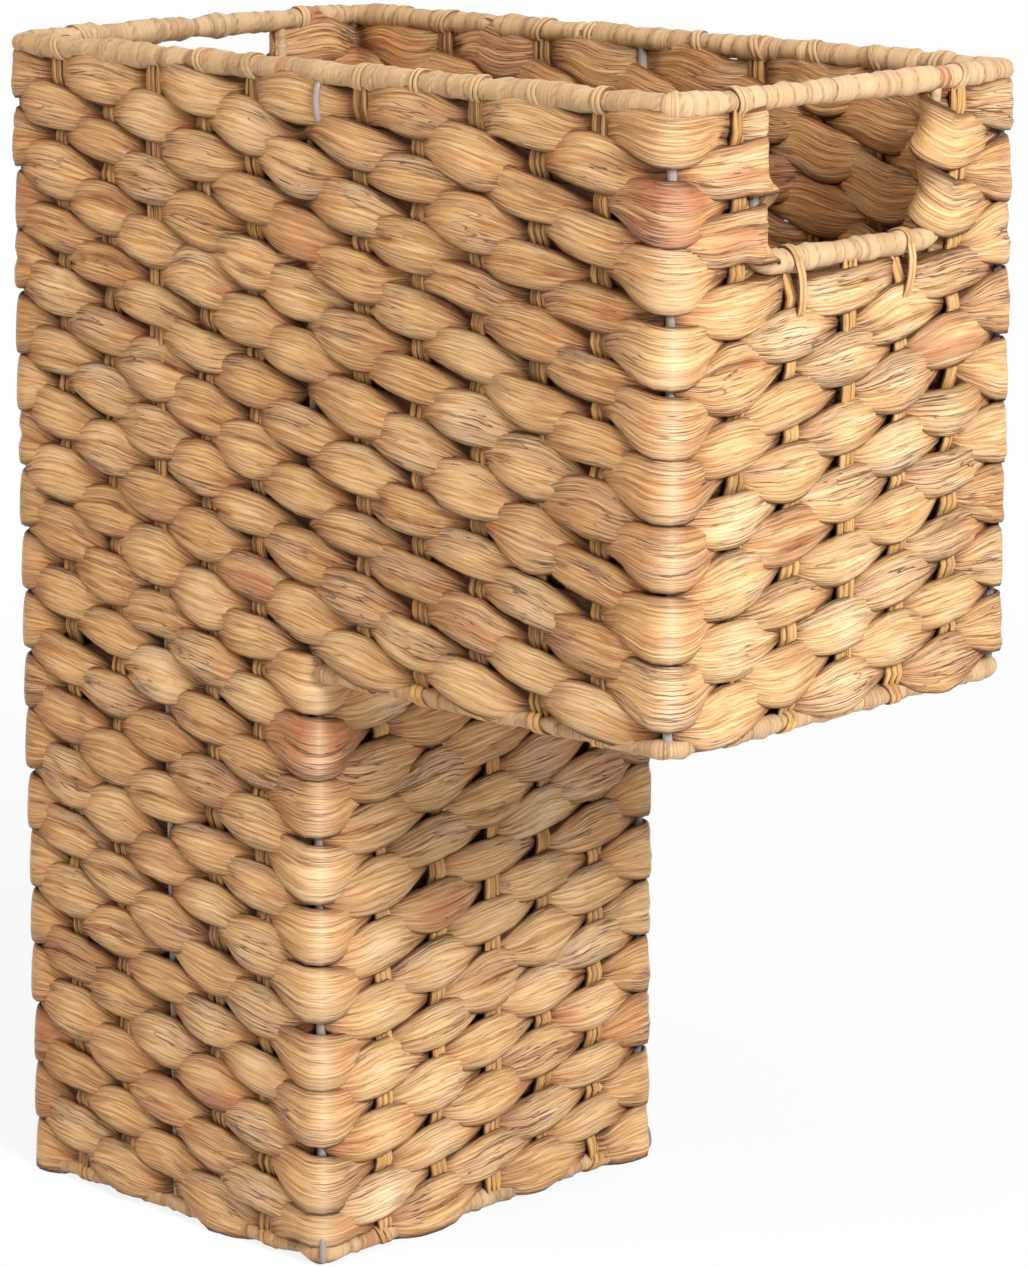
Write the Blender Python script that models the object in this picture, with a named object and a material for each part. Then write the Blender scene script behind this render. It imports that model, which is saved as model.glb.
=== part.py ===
"""Stair basket of water hyacinth, woven on a welded wire frame with twine warps.

The lower box stands on one stair, and the deeper upper box hangs over the stair above it.
X runs from the back wall to the overhang, Y across the stair and Z up. The origin is under
the middle of the overall box, on the surface that the basket stands on. Lengths are metres.
Left is the -Y side, as seen by someone who faces the overhang.
"""

import math
from collections import namedtuple

import bmesh
import bpy
from mathutils import Matrix, Vector

# The whole basket, over the weave
BASKET_LENGTH = 0.305  # back wall to the front of the overhang
BASKET_WIDTH = 0.166
BASKET_HEIGHT = 0.400
STEP_HEIGHT = 0.199  # standing surface to the flat under the overhang
LOWER_DEPTH = 0.1525  # back wall to the lower front wall

# The frame wire, and the strand that is woven or wound on it
WIRE_RADIUS = 0.0016
STRAND_THICKNESS = 0.0029  # weft on each side of the frame wires
RIM_BINDING_THICKNESS = 0.0029
HANDLE_BINDING_THICKNESS = 0.0024
FLOOR_COVER = 0.0011  # strand under and over the floor wires
RIM_FLAT_DEPTH = 0.0005  # flat under the two rims that rest on a stair
RIM_INNER_BEND = 0.0005  # inside radius of a bound rim at its corners
FLOOR_BEND_RADIUS = 0.004  # wire that turns from a wall into a floor
CORNER_ROUND = 0.008  # outer corners of the woven walls

# The two handle openings, clear of their bindings
HANDLE_WIDTH = 0.076
HANDLE_HEIGHT = 0.041

# The twine warps, flat bands of two or three strands
TWINE_WIDTH = 0.006
TWINE_THICKNESS = 0.0022

# Bays between the uprights
LOWER_BAYS = 6  # along a side, over the lower box
OVERHANG_BAYS = 6  # along a side, over the overhang
END_BAYS = 6  # across a front or back wall
SIDE_WIRE_BAY = 3  # the upright in a side that is wire and not twine

# The weft, which passes each upright outside and inside by turns
WEFT_ROWS = 37  # from the base rim to the top rim
WEFT_COVER = 0.0006  # least strand left over the channel of an upright

# Clearance between pieces that touch, how far a cut runs past its piece, and facets
CLEARANCE = 0.0003
CUT_OVERRUN = 0.0008
WIRE_SIDES = 10
TWINE_SIDES = 12
BINDING_SIDES = 14
BEND_SEGMENTS = 5
CORNER_SEGMENTS = 3
MERGE_DISTANCE = 0.00001

# Sections
WALL_THICKNESS = 2 * (WIRE_RADIUS + STRAND_THICKNESS)
RIM_RADIUS = WIRE_RADIUS + RIM_BINDING_THICKNESS
HANDLE_RADIUS = WIRE_RADIUS + HANDLE_BINDING_THICKNESS
BORE_RADIUS = WIRE_RADIUS + CLEARANCE
RIM_BEND_RADIUS = RIM_RADIUS + RIM_INNER_BEND

# Insets of the frame from the outer faces
FRAME_INSET = WALL_THICKNESS / 2
CORNER_INSET = FRAME_INSET + RIM_BEND_RADIUS * (1 - math.cos(math.pi / 4))
INNER_INSET = max(WALL_THICKNESS, FRAME_INSET + RIM_RADIUS) + CLEARANCE

# Places along the length and across the width
BACK_X = -BASKET_LENGTH / 2
FRONT_X = BASKET_LENGTH / 2
STEP_X = BACK_X + LOWER_DEPTH
SIDE_Y = BASKET_WIDTH / 2
BACK_FRAME_X = BACK_X + FRAME_INSET
STEP_FRAME_X = STEP_X - FRAME_INSET
FRONT_FRAME_X = FRONT_X - FRAME_INSET
SIDE_FRAME_Y = SIDE_Y - FRAME_INSET
BACK_CORNER_X = BACK_X + CORNER_INSET
STEP_CORNER_X = STEP_X - CORNER_INSET
FRONT_CORNER_X = FRONT_X - CORNER_INSET
CORNER_Y = SIDE_Y - CORNER_INSET
HANDLE_POST_Y = HANDLE_WIDTH / 2 + FRAME_INSET

# Bays between the uprights
LOWER_BAY = (STEP_CORNER_X - BACK_CORNER_X) / LOWER_BAYS
OVERHANG_BAY = (FRONT_CORNER_X - STEP_CORNER_X) / OVERHANG_BAYS
END_BAY = 2 * CORNER_Y / END_BAYS

# Heights
RIM_LIFT = RIM_RADIUS - RIM_FLAT_DEPTH  # rim wire over the flat under its binding
RIM_CROWN = RIM_LIFT + RIM_RADIUS  # top of a flat-bottomed rim over its flat
FLOOR_WIRE_LIFT = RIM_LIFT + 2 * WIRE_RADIUS + CLEARANCE  # floor wire, laid on the rim wire
FLOOR_LOW = RIM_LIFT - BORE_RADIUS - FLOOR_COVER
FLOOR_HIGH = FLOOR_WIRE_LIFT + BORE_RADIUS + FLOOR_COVER
TOP_RIM_Z = BASKET_HEIGHT - RIM_RADIUS
STEP_RIM_Z = STEP_HEIGHT + RIM_LIFT
LOWER_WALL_LOW = RIM_CROWN + CLEARANCE
LOWER_WALL_HIGH = STEP_HEIGHT + RIM_CROWN
LOWER_FRONT_HIGH = STEP_RIM_Z - BORE_RADIUS  # just under the wire across the step
UPPER_WALL_LOW = LOWER_WALL_HIGH + CLEARANCE
UPPER_WALL_HIGH = TOP_RIM_Z - RIM_RADIUS - CLEARANCE
HANDLE_BAR_Z = TOP_RIM_Z - RIM_RADIUS - HANDLE_HEIGHT - HANDLE_RADIUS
HANDLE_SILL_Z = HANDLE_BAR_Z - HANDLE_RADIUS - CLEARANCE
ROW_PITCH = (UPPER_WALL_HIGH - LOWER_WALL_LOW) / WEFT_ROWS
FIRST_ROW_Z = LOWER_WALL_LOW + ROW_PITCH / 2

# How far a wall's face sinks where the weft passes on the other side of an upright
TWINE_SINK = FRAME_INSET - TWINE_THICKNESS / 2 - CLEARANCE - WEFT_COVER
WIRE_SINK = FRAME_INSET - BORE_RADIUS - WEFT_COVER
STEP_WIRE_SINK = WIRE_SINK - (CORNER_INSET - FRAME_INSET)  # inside, where that wire is nearer

# Finishes: colour, roughness, metallic
COATED_WIRE = ((0.50, 0.41, 0.35), 0.45, 0.1)
TWINE = ((0.50, 0.27, 0.10), 0.75, 0.0)
WOVEN_HYACINTH = ((0.60, 0.38, 0.17), 0.6, 0.0)
BINDING_STRIP = ((0.72, 0.56, 0.36), 0.55, 0.0)

SIDES = {"left": -1, "right": 1}

# A place round a wall's outline: where it is, the way into the wall, how many bays it is from
# a corner, how far it sinks, and its face. Corners are whole, even numbers of bays apart.
Column = namedtuple("Column", "spot inward bay sink face")
OUTER_FACE = 1
INNER_FACE = -1


def clear_scene():
    """Start from an empty scene."""
    for thing in list(bpy.data.objects):
        bpy.data.objects.remove(thing, do_unlink=True)


def make_material(name, finish):
    """A plain material with the finish's colour, roughness and metallic value."""
    colour, roughness, metallic = finish
    material = bpy.data.materials.new(name + "_finish")
    material.use_nodes = True
    shader = material.node_tree.nodes["Principled BSDF"]
    shader.inputs["Base Color"].default_value = (*colour, 1)
    shader.inputs["Roughness"].default_value = roughness
    shader.inputs["Metallic"].default_value = metallic
    return material


def add_object(name, shape, place, assembly):
    """Put a bmesh into the scene under the assembly's empty, with its origin at place."""
    bmesh.ops.recalc_face_normals(shape, faces=shape.faces[:])
    mesh = bpy.data.meshes.new(name)
    shape.to_mesh(mesh)
    shape.free()
    thing = bpy.data.objects.new(name, mesh)
    thing.location = place
    thing.parent = assembly
    bpy.context.collection.objects.link(thing)
    return thing


def add_piece(name, shape, place, finish, assembly):
    """A piece of the basket, smooth round its curves."""
    piece = add_object(name, shape, place, assembly)
    piece.data.shade_smooth()
    piece.data.set_sharp_from_angle(angle=math.radians(40))
    piece.data.materials.append(make_material(name, finish))
    return piece


def add_cutter(name, shape, place, assembly):
    """A shape that only cuts channels and openings into the pieces."""
    cutter = add_object("cut_" + name, shape, place, assembly)
    cutter.hide_render = True
    cutter.display_type = "WIRE"
    return cutter


def cut(piece, cutters):
    """Take the shapes of all the cutters out of the piece in one step."""
    group = bpy.data.collections.new("cuts_in_" + piece.name)
    for cutter in cutters:
        group.objects.link(cutter)
    modifier = piece.modifiers.new("channels", "BOOLEAN")
    modifier.operation = "DIFFERENCE"
    modifier.solver = "EXACT"
    modifier.operand_type = "COLLECTION"
    modifier.collection = group


def round_section(half_width, half_height, sides):
    """Points of a round or oval section that lies on one of its flats."""
    angles = [2 * math.pi * (side + 0.5) / sides - math.pi / 2 for side in range(sides)]
    return [(half_width * math.cos(a), half_height * math.sin(a)) for a in angles]


def flat_bottomed_section(radius, flat_depth, sides):
    """Points of a round section with a flat cut under it."""
    half_flat = math.acos(1 - flat_depth / radius)
    start = half_flat - math.pi / 2
    turn = 2 * (math.pi - half_flat)
    angles = [start + turn * side / (sides - 1) for side in range(sides)]
    return [(radius * math.cos(a), radius * math.sin(a)) for a in angles]


def rounded_path(corners, bend_radius, cyclic=False):
    """Points of a line through the corners, with an arc at each of its bends."""
    points = []
    last = len(corners) - 1
    for index, corner in enumerate(corners):
        if not cyclic and index in (0, last):
            points.append(corner)
            continue
        before = (corners[index - 1] - corner).normalized()
        after = (corners[(index + 1) % len(corners)] - corner).normalized()
        half_angle = before.angle(after) / 2
        middle = (before + after).normalized()
        centre = corner + middle * bend_radius / math.sin(half_angle)
        first_arm = corner + before * bend_radius / math.tan(half_angle) - centre
        last_arm = corner + after * bend_radius / math.tan(half_angle) - centre
        axis = first_arm.cross(last_arm)
        for step in range(BEND_SEGMENTS + 1):
            angle = first_arm.angle(last_arm) * step / BEND_SEGMENTS
            points.append(centre + Matrix.Rotation(angle, 3, axis) @ first_arm)
    return points


def station(path, index, up, cyclic):
    """The matrix that stands a section square to the path at one of its points."""
    count = len(path)
    if cyclic:
        ahead = (path[(index + 1) % count] - path[index]).normalized()
        behind = (path[index] - path[index - 1]).normalized()
    else:
        ahead = (path[min(index + 1, count - 1)] - path[min(index, count - 2)]).normalized()
        behind = (path[max(index, 1)] - path[max(index - 1, 0)]).normalized()
    forward = (ahead + behind).normalized()
    aside = forward.cross(up)
    upward = aside.cross(forward)
    turn = Matrix((aside, upward, forward)).transposed().to_4x4()
    return Matrix.Translation(path[index]) @ turn


def sweep(section, path, up, cyclic=False):
    """Carry a closed section along the path."""
    shape = bmesh.new()
    stations = [station(path, index, up, cyclic) for index in range(len(path))]
    ring = [shape.verts.new(stations[0] @ Vector((u, v, 0))) for u, v in section]
    edges = [shape.edges.new((ring[i - 1], ring[i])) for i in range(len(ring))]
    following = stations[1:] + stations[:1] if cyclic else stations[1:]
    here = stations[0]
    for there in following:
        grown = bmesh.ops.extrude_edge_only(shape, edges=edges)["geom"]
        verts = [part for part in grown if isinstance(part, bmesh.types.BMVert)]
        edges = [part for part in grown if isinstance(part, bmesh.types.BMEdge)]
        bmesh.ops.transform(shape, matrix=there @ here.inverted(), verts=verts)
        here = there
    if cyclic:
        bmesh.ops.remove_doubles(shape, verts=shape.verts[:], dist=MERGE_DISTANCE)
    else:
        rims = [edge for edge in shape.edges if edge.is_boundary]
        bmesh.ops.holes_fill(shape, edges=rims, sides=len(section))
    return shape


def prism(outline, height):
    """A solid that stands on a flat outline."""
    shape = bmesh.new()
    foot = shape.faces.new([shape.verts.new((point[0], point[1], 0)) for point in outline])
    grown = bmesh.ops.extrude_face_region(shape, geom=[foot])["geom"]
    verts = [part for part in grown if isinstance(part, bmesh.types.BMVert)]
    bmesh.ops.translate(shape, verts=verts, vec=(0, 0, height))
    return shape


def block(length, width, height):
    """A box that stands on the middle of its foot."""
    x, y = length / 2, width / 2
    return prism([(-x, -y), (x, -y), (x, y), (-x, y)], height)


def swollen_spot(column, row):
    """Where a wall's face is at a column: full where the weft passes there, and else sunk."""
    swell = column.face * math.cos(math.pi * column.bay) * math.cos(math.pi * row)
    return column.spot + column.inward * column.sink * (1 - swell) / 2


def woven_wall(columns, z_low, z_high):
    """A wall whose faces swell and sink by turns, wrapped from a grid round its outline."""
    rows = [FIRST_ROW_Z + row * ROW_PITCH for row in range(WEFT_ROWS)]
    between = [z for z in rows if z_low + CUT_OVERRUN < z < z_high - CUT_OVERRUN]
    levels = [z_low, *between, z_high]
    shape = bmesh.new()
    around, bands = len(columns), len(levels) - 1
    bmesh.ops.create_grid(shape, x_segments=around, y_segments=bands, size=1)
    for vert in shape.verts:
        column = columns[round((vert.co.x + 1) / 2 * around) % around]
        z = levels[round((vert.co.y + 1) / 2 * bands)]
        x, y = swollen_spot(column, (z - FIRST_ROW_Z) / ROW_PITCH)
        vert.co = (x, y, z - z_low)
    bmesh.ops.triangulate(shape, faces=shape.faces[:])
    bmesh.ops.remove_doubles(shape, verts=shape.verts[:], dist=MERGE_DISTANCE)
    ends = [edge for edge in shape.edges if edge.is_boundary]
    bmesh.ops.holes_fill(shape, edges=ends, sides=around)
    return shape


def upright(name, sections, spot, z_low, z_high, finish, assembly):
    """A straight wire or warp, and the cutter for its channel, which runs past both ends."""
    piece_section, channel_section = sections
    piece = prism(piece_section, z_high - z_low)
    channel = prism(channel_section, z_high - z_low + 2 * CUT_OVERRUN)
    add_piece(name, piece, (*spot, z_low), finish, assembly)
    return add_cutter(name, channel, (*spot, z_low - CUT_OVERRUN), assembly)


def wire_upright(name, spot, z_low, z_high, assembly):
    """A frame wire that stands between two rim wires, which it is welded to."""
    sections = [round_section(radius, radius, WIRE_SIDES) for radius in (WIRE_RADIUS, BORE_RADIUS)]
    return upright(name, sections, spot, z_low, z_high, COATED_WIRE, assembly)


def twine_upright(name, spot, z_low, z_high, assembly, across=False):
    """A twine warp. Its band lies along X in a side wall, and along Y in a wall across."""
    sections = []
    for margin in (0, CLEARANCE):
        half = (TWINE_WIDTH / 2 + margin, TWINE_THICKNESS / 2 + margin)
        sections.append(round_section(*(reversed(half) if across else half), TWINE_SIDES))
    return upright(name, sections, spot, z_low, z_high, TWINE, assembly)


def bent_wire(name, place, corners, bend_radius, up, assembly, cyclic=False):
    """A frame wire with bends, and the cutter for its channel, which runs past its ends."""
    path = rounded_path(corners, bend_radius, cyclic)
    wire = sweep(round_section(WIRE_RADIUS, WIRE_RADIUS, WIRE_SIDES), path, up, cyclic)
    add_piece(name, wire, place, COATED_WIRE, assembly)
    if not cyclic:
        path[0] = path[0] + (path[0] - path[1]).normalized() * CUT_OVERRUN
        path[-1] = path[-1] + (path[-1] - path[-2]).normalized() * CUT_OVERRUN
    channel = sweep(round_section(BORE_RADIUS, BORE_RADIUS, WIRE_SIDES), path, up, cyclic)
    return add_cutter(name, channel, place, assembly)


def loop_corners(x_low, x_high):
    """Corners of a rim wire that goes round the basket between two places along it."""
    half = (x_high - x_low) / 2
    spots = [(-half, -SIDE_FRAME_Y), (half, -SIDE_FRAME_Y), (half, SIDE_FRAME_Y), (-half, SIDE_FRAME_Y)]
    return [Vector((x, y, 0)) for x, y in spots]


def make_rim_wires(assembly):
    """The top and base loops, the U round the overhang, and the wire across the step."""
    upward = Vector((0, 0, 1))
    cutters = {}
    loops = {
        "top_rim_wire": (BACK_FRAME_X, FRONT_FRAME_X, TOP_RIM_Z),
        "base_rim_wire": (BACK_FRAME_X, STEP_FRAME_X, RIM_LIFT),
    }
    for name, (x_low, x_high, z) in loops.items():
        place = ((x_low + x_high) / 2, 0, z)
        corners = loop_corners(x_low, x_high)
        cutters[name] = bent_wire(name, place, corners, RIM_BEND_RADIUS, upward, assembly, True)

    start_x = STEP_CORNER_X + BORE_RADIUS
    reach = FRONT_FRAME_X - start_x
    spots = [(0, -SIDE_FRAME_Y), (reach, -SIDE_FRAME_Y), (reach, SIDE_FRAME_Y), (0, SIDE_FRAME_Y)]
    corners = [Vector((x, y, 0)) for x, y in spots]
    place = (start_x, 0, STEP_RIM_Z)
    name = "step_rim_wire"
    cutters[name] = bent_wire(name, place, corners, RIM_BEND_RADIUS, upward, assembly)

    half = CORNER_Y - BORE_RADIUS
    corners = [Vector((0, -half, 0)), Vector((0, half, 0))]
    place = (STEP_FRAME_X, 0, STEP_RIM_Z)
    name = "step_cross_wire"
    cutters[name] = bent_wire(name, place, corners, RIM_BEND_RADIUS, upward, assembly)
    return cutters


def make_upright_wires(assembly):
    """Corner wires, and the wire in the middle of each side of the lower box."""
    side_wire_x = BACK_CORNER_X + SIDE_WIRE_BAY * LOWER_BAY
    top = TOP_RIM_Z - BORE_RADIUS
    on_base = RIM_LIFT + BORE_RADIUS
    on_step = STEP_RIM_Z + BORE_RADIUS
    cutters = {}
    for side, sign in SIDES.items():
        corner_y, side_y = sign * CORNER_Y, sign * SIDE_FRAME_Y
        for name, spot, foot in (
            ("back_corner_wire_", (BACK_CORNER_X, corner_y), on_base),
            ("step_corner_wire_", (STEP_CORNER_X, corner_y), on_base),
            ("front_corner_wire_", (FRONT_CORNER_X, corner_y), on_step),
            ("side_wire_", (side_wire_x, side_y), on_base),
        ):
            cutters[name + side] = wire_upright(name + side, spot, foot, top, assembly)
    return cutters


def make_bent_wires(assembly):
    """The two wires along the middle, and the U of each handle."""
    across = Vector((0, 1, 0))
    under_bar = HANDLE_BAR_Z - BORE_RADIUS
    cutters = {}

    leg, depth = under_bar - FLOOR_WIRE_LIFT, STEP_FRAME_X - BACK_FRAME_X
    front_leg = STEP_RIM_Z - BORE_RADIUS - FLOOR_WIRE_LIFT
    spots = [(0, leg), (0, 0), (depth, 0), (depth, front_leg)]
    corners = [Vector((x, 0, z)) for x, z in spots]
    place = (BACK_FRAME_X, 0, FLOOR_WIRE_LIFT)
    name = "centre_hoop_wire"
    cutters[name] = bent_wire(name, place, corners, FLOOR_BEND_RADIUS, across, assembly)

    start_x = STEP_FRAME_X - WIRE_RADIUS
    reach = FRONT_FRAME_X - start_x
    floor_z = STEP_HEIGHT + FLOOR_WIRE_LIFT
    spots = [(0, 0), (reach, 0), (reach, under_bar - floor_z)]
    corners = [Vector((x, 0, z)) for x, z in spots]
    place = (start_x, 0, floor_z)
    name = "overhang_centre_wire"
    cutters[name] = bent_wire(name, place, corners, FLOOR_BEND_RADIUS, across, assembly)

    along = Vector((1, 0, 0))
    rise = TOP_RIM_Z - BORE_RADIUS - HANDLE_BAR_Z
    spots = [(-HANDLE_POST_Y, rise), (-HANDLE_POST_Y, 0), (HANDLE_POST_Y, 0), (HANDLE_POST_Y, rise)]
    corners = [Vector((0, y, z)) for y, z in spots]
    for end, x in (("back", BACK_FRAME_X), ("front", FRONT_FRAME_X)):
        name = end + "_handle_wire"
        place = (x, 0, HANDLE_BAR_Z)
        cutters[name] = bent_wire(name, place, corners, FRAME_INSET, along, assembly)
    return cutters


def make_side_twines(assembly):
    """The warps of both sides: tall ones over the lower box, short ones over the overhang."""
    places = []
    for bay in range(1, LOWER_BAYS):
        if bay != SIDE_WIRE_BAY:
            places.append((BACK_CORNER_X + bay * LOWER_BAY, LOWER_WALL_LOW))
    for bay in range(1, OVERHANG_BAYS):
        places.append((STEP_CORNER_X + bay * OVERHANG_BAY, UPPER_WALL_LOW))
    cutters = {side: {"lower": [], "upper": []} for side in SIDES}
    for side, sign in SIDES.items():
        for number, (x, z_low) in enumerate(places, 1):
            name = f"side_twine_{side}_{number}"
            spot = (x, sign * SIDE_FRAME_Y)
            cutter = twine_upright(name, spot, z_low, UPPER_WALL_HIGH, assembly)
            cutters[side]["upper"].append(cutter)
            if z_low == LOWER_WALL_LOW:
                cutters[side]["lower"].append(cutter)
    return cutters


def make_end_twines(assembly):
    """The warps of the three walls across the basket. Those under a handle stop at its bar."""
    walls = {
        "back": (BACK_FRAME_X, LOWER_WALL_LOW, UPPER_WALL_HIGH, True),
        "lower_front": (STEP_FRAME_X, LOWER_WALL_LOW, LOWER_FRONT_HIGH, False),
        "overhang_front": (FRONT_FRAME_X, UPPER_WALL_LOW, UPPER_WALL_HIGH, True),
    }
    cutters = {}
    for wall, (x, z_low, z_high, has_handle) in walls.items():
        bays = [bay for bay in range(1, END_BAYS) if 2 * bay != END_BAYS]
        cutters[wall] = []
        for number, bay in enumerate(bays, 1):
            y = bay * END_BAY - CORNER_Y
            under_handle = has_handle and abs(y) < HANDLE_POST_Y
            top = HANDLE_SILL_Z if under_handle else z_high
            name = f"{wall}_twine_{number}"
            cutters[wall].append(twine_upright(name, (x, y), z_low, top, assembly, across=True))
    return cutters


def side_uprights(level):
    """How far each upright in a side is from the back, its bay, and its sinks outside and inside."""
    uprights = []
    for bay in range(1, LOWER_BAYS):
        sink = WIRE_SINK if bay == SIDE_WIRE_BAY else TWINE_SINK
        uprights.append((CORNER_INSET + bay * LOWER_BAY, bay, sink, sink))
    if level == "upper":
        step_x = STEP_CORNER_X - BACK_X
        uprights.append((step_x, LOWER_BAYS, WIRE_SINK, STEP_WIRE_SINK))
        for bay in range(1, OVERHANG_BAYS):
            uprights.append((step_x + bay * OVERHANG_BAY, LOWER_BAYS + bay, TWINE_SINK, TWINE_SINK))
    return uprights


def corner_columns(centre, start, end):
    """Places round an outer corner, where the weft passes the corner wire."""
    columns = []
    for step in range(CORNER_SEGMENTS + 1):
        turn = math.pi / 2 * step / CORNER_SEGMENTS
        way = start * math.cos(turn) + end * math.sin(turn)
        columns.append(Column(centre + way * CORNER_ROUND, -way, 0, WIRE_SINK, OUTER_FACE))
    return columns


def side_columns(length, uprights, sign):
    """Places round a side wall. It stays flat where the walls across meet it."""
    ahead, outward = Vector((1, 0)), Vector((0, sign))
    inner = -outward * WALL_THICKNESS
    round_y = -sign * CORNER_ROUND
    seam_bay = (CORNER_Y - (SIDE_Y - WALL_THICKNESS)) / END_BAY
    far = ahead * length
    columns = [Column(inner, ahead, seam_bay, WIRE_SINK, OUTER_FACE)]
    columns += corner_columns(Vector((CORNER_ROUND, round_y)), -ahead, outward)
    for x, bay, sink, _ in uprights:
        columns.append(Column(ahead * x, -outward, bay, sink, OUTER_FACE))
    columns += corner_columns(Vector((length - CORNER_ROUND, round_y)), outward, ahead)
    columns.append(Column(far + inner, -ahead, seam_bay, WIRE_SINK, OUTER_FACE))
    columns.append(Column(far - ahead * WALL_THICKNESS + inner, outward, 0, 0, INNER_FACE))
    for x, bay, _, sink in reversed(uprights):
        columns.append(Column(ahead * x + inner, outward, bay, sink, INNER_FACE))
    columns.append(Column(ahead * WALL_THICKNESS + inner, outward, 0, 0, INNER_FACE))
    return columns


def end_columns(outward, width):
    """Places round a wall across the basket: its outer face, then its inner face."""
    places = [(-width / 2, WIRE_SINK)]
    for bay in range(1, END_BAYS):
        sink = WIRE_SINK if 2 * bay == END_BAYS else TWINE_SINK
        places.append((bay * END_BAY - CORNER_Y, sink))
    places.append((width / 2, WIRE_SINK))
    columns = []
    for face, row in ((OUTER_FACE, places), (INNER_FACE, places[::-1])):
        out = face * outward
        for y, sink in row:
            bay = (y + CORNER_Y) / END_BAY
            spot = Vector((out * FRAME_INSET, y))
            columns.append(Column(spot, Vector((-out, 0)), bay, sink, face))
    return columns


def make_side_walls(wires, twines, assembly):
    """Each side as a tall lower wall and a long upper wall, round at their outer corners."""
    walls = {
        "lower": (LOWER_DEPTH, LOWER_WALL_LOW, LOWER_WALL_HIGH),
        "upper": (BASKET_LENGTH, UPPER_WALL_LOW, UPPER_WALL_HIGH),
    }
    for side, sign in SIDES.items():
        own = [wires[wire + side] for wire in ("back_corner_wire_", "step_corner_wire_", "side_wire_")]
        extra = {
            "lower": [wires["step_rim_wire"], wires["step_cross_wire"]],
            "upper": [wires["front_corner_wire_" + side]],
        }
        for level, (length, z_low, z_high) in walls.items():
            columns = side_columns(length, side_uprights(level), sign)
            place = (BACK_X, sign * SIDE_Y, z_low)
            shape = woven_wall(columns, z_low, z_high)
            wall = add_piece(f"{side}_wall_{level}", shape, place, WOVEN_HYACINTH, assembly)
            cut(wall, own + extra[level] + twines[side][level])


def make_end_walls(wires, twines, assembly):
    """The back wall, the lower front wall and the front of the overhang."""
    width = 2 * (SIDE_Y - WALL_THICKNESS - CLEARANCE)
    opening_height = UPPER_WALL_HIGH - HANDLE_SILL_Z + CUT_OVERRUN
    openings = {}
    for end, x in (("back", BACK_FRAME_X), ("front", FRONT_FRAME_X)):
        shape = block(2 * WALL_THICKNESS, HANDLE_WIDTH, opening_height)
        openings[end] = add_cutter(end + "_handle_opening", shape, (x, 0, HANDLE_SILL_Z), assembly)
    walls = {
        "back_wall": (BACK_FRAME_X, -1, LOWER_WALL_LOW, UPPER_WALL_HIGH),
        "lower_front_wall": (STEP_FRAME_X, 1, LOWER_WALL_LOW, LOWER_FRONT_HIGH),
        "overhang_front_wall": (FRONT_FRAME_X, 1, UPPER_WALL_LOW, UPPER_WALL_HIGH),
    }
    channels = {
        "back_wall": [openings["back"], wires["back_handle_wire"], wires["centre_hoop_wire"]],
        "lower_front_wall": [wires["centre_hoop_wire"]],
        "overhang_front_wall": [
            openings["front"],
            wires["front_handle_wire"],
            wires["overhang_centre_wire"],
        ],
    }
    for name, (x, outward, z_low, z_high) in walls.items():
        shape = woven_wall(end_columns(outward, width), z_low, z_high)
        wall = add_piece(name, shape, (x, 0, z_low), WOVEN_HYACINTH, assembly)
        cut(wall, channels[name] + twines[name.removesuffix("_wall")])


def make_floors(wires, assembly):
    """The woven floor of the lower box, and that of the overhang."""
    width = 2 * (SIDE_Y - INNER_INSET)
    floors = {
        "base_floor": (BACK_X + INNER_INSET, STEP_X - INNER_INSET, 0),
        "overhang_floor": (STEP_X + CLEARANCE, FRONT_X - INNER_INSET, STEP_HEIGHT),
    }
    floor_wires = {"base_floor": "centre_hoop_wire", "overhang_floor": "overhang_centre_wire"}
    for name, (x_low, x_high, level) in floors.items():
        shape = block(x_high - x_low, width, FLOOR_HIGH - FLOOR_LOW)
        place = ((x_low + x_high) / 2, 0, level + FLOOR_LOW)
        floor = add_piece(name, shape, place, WOVEN_HYACINTH, assembly)
        cut(floor, [wires[floor_wires[name]]])


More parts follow.
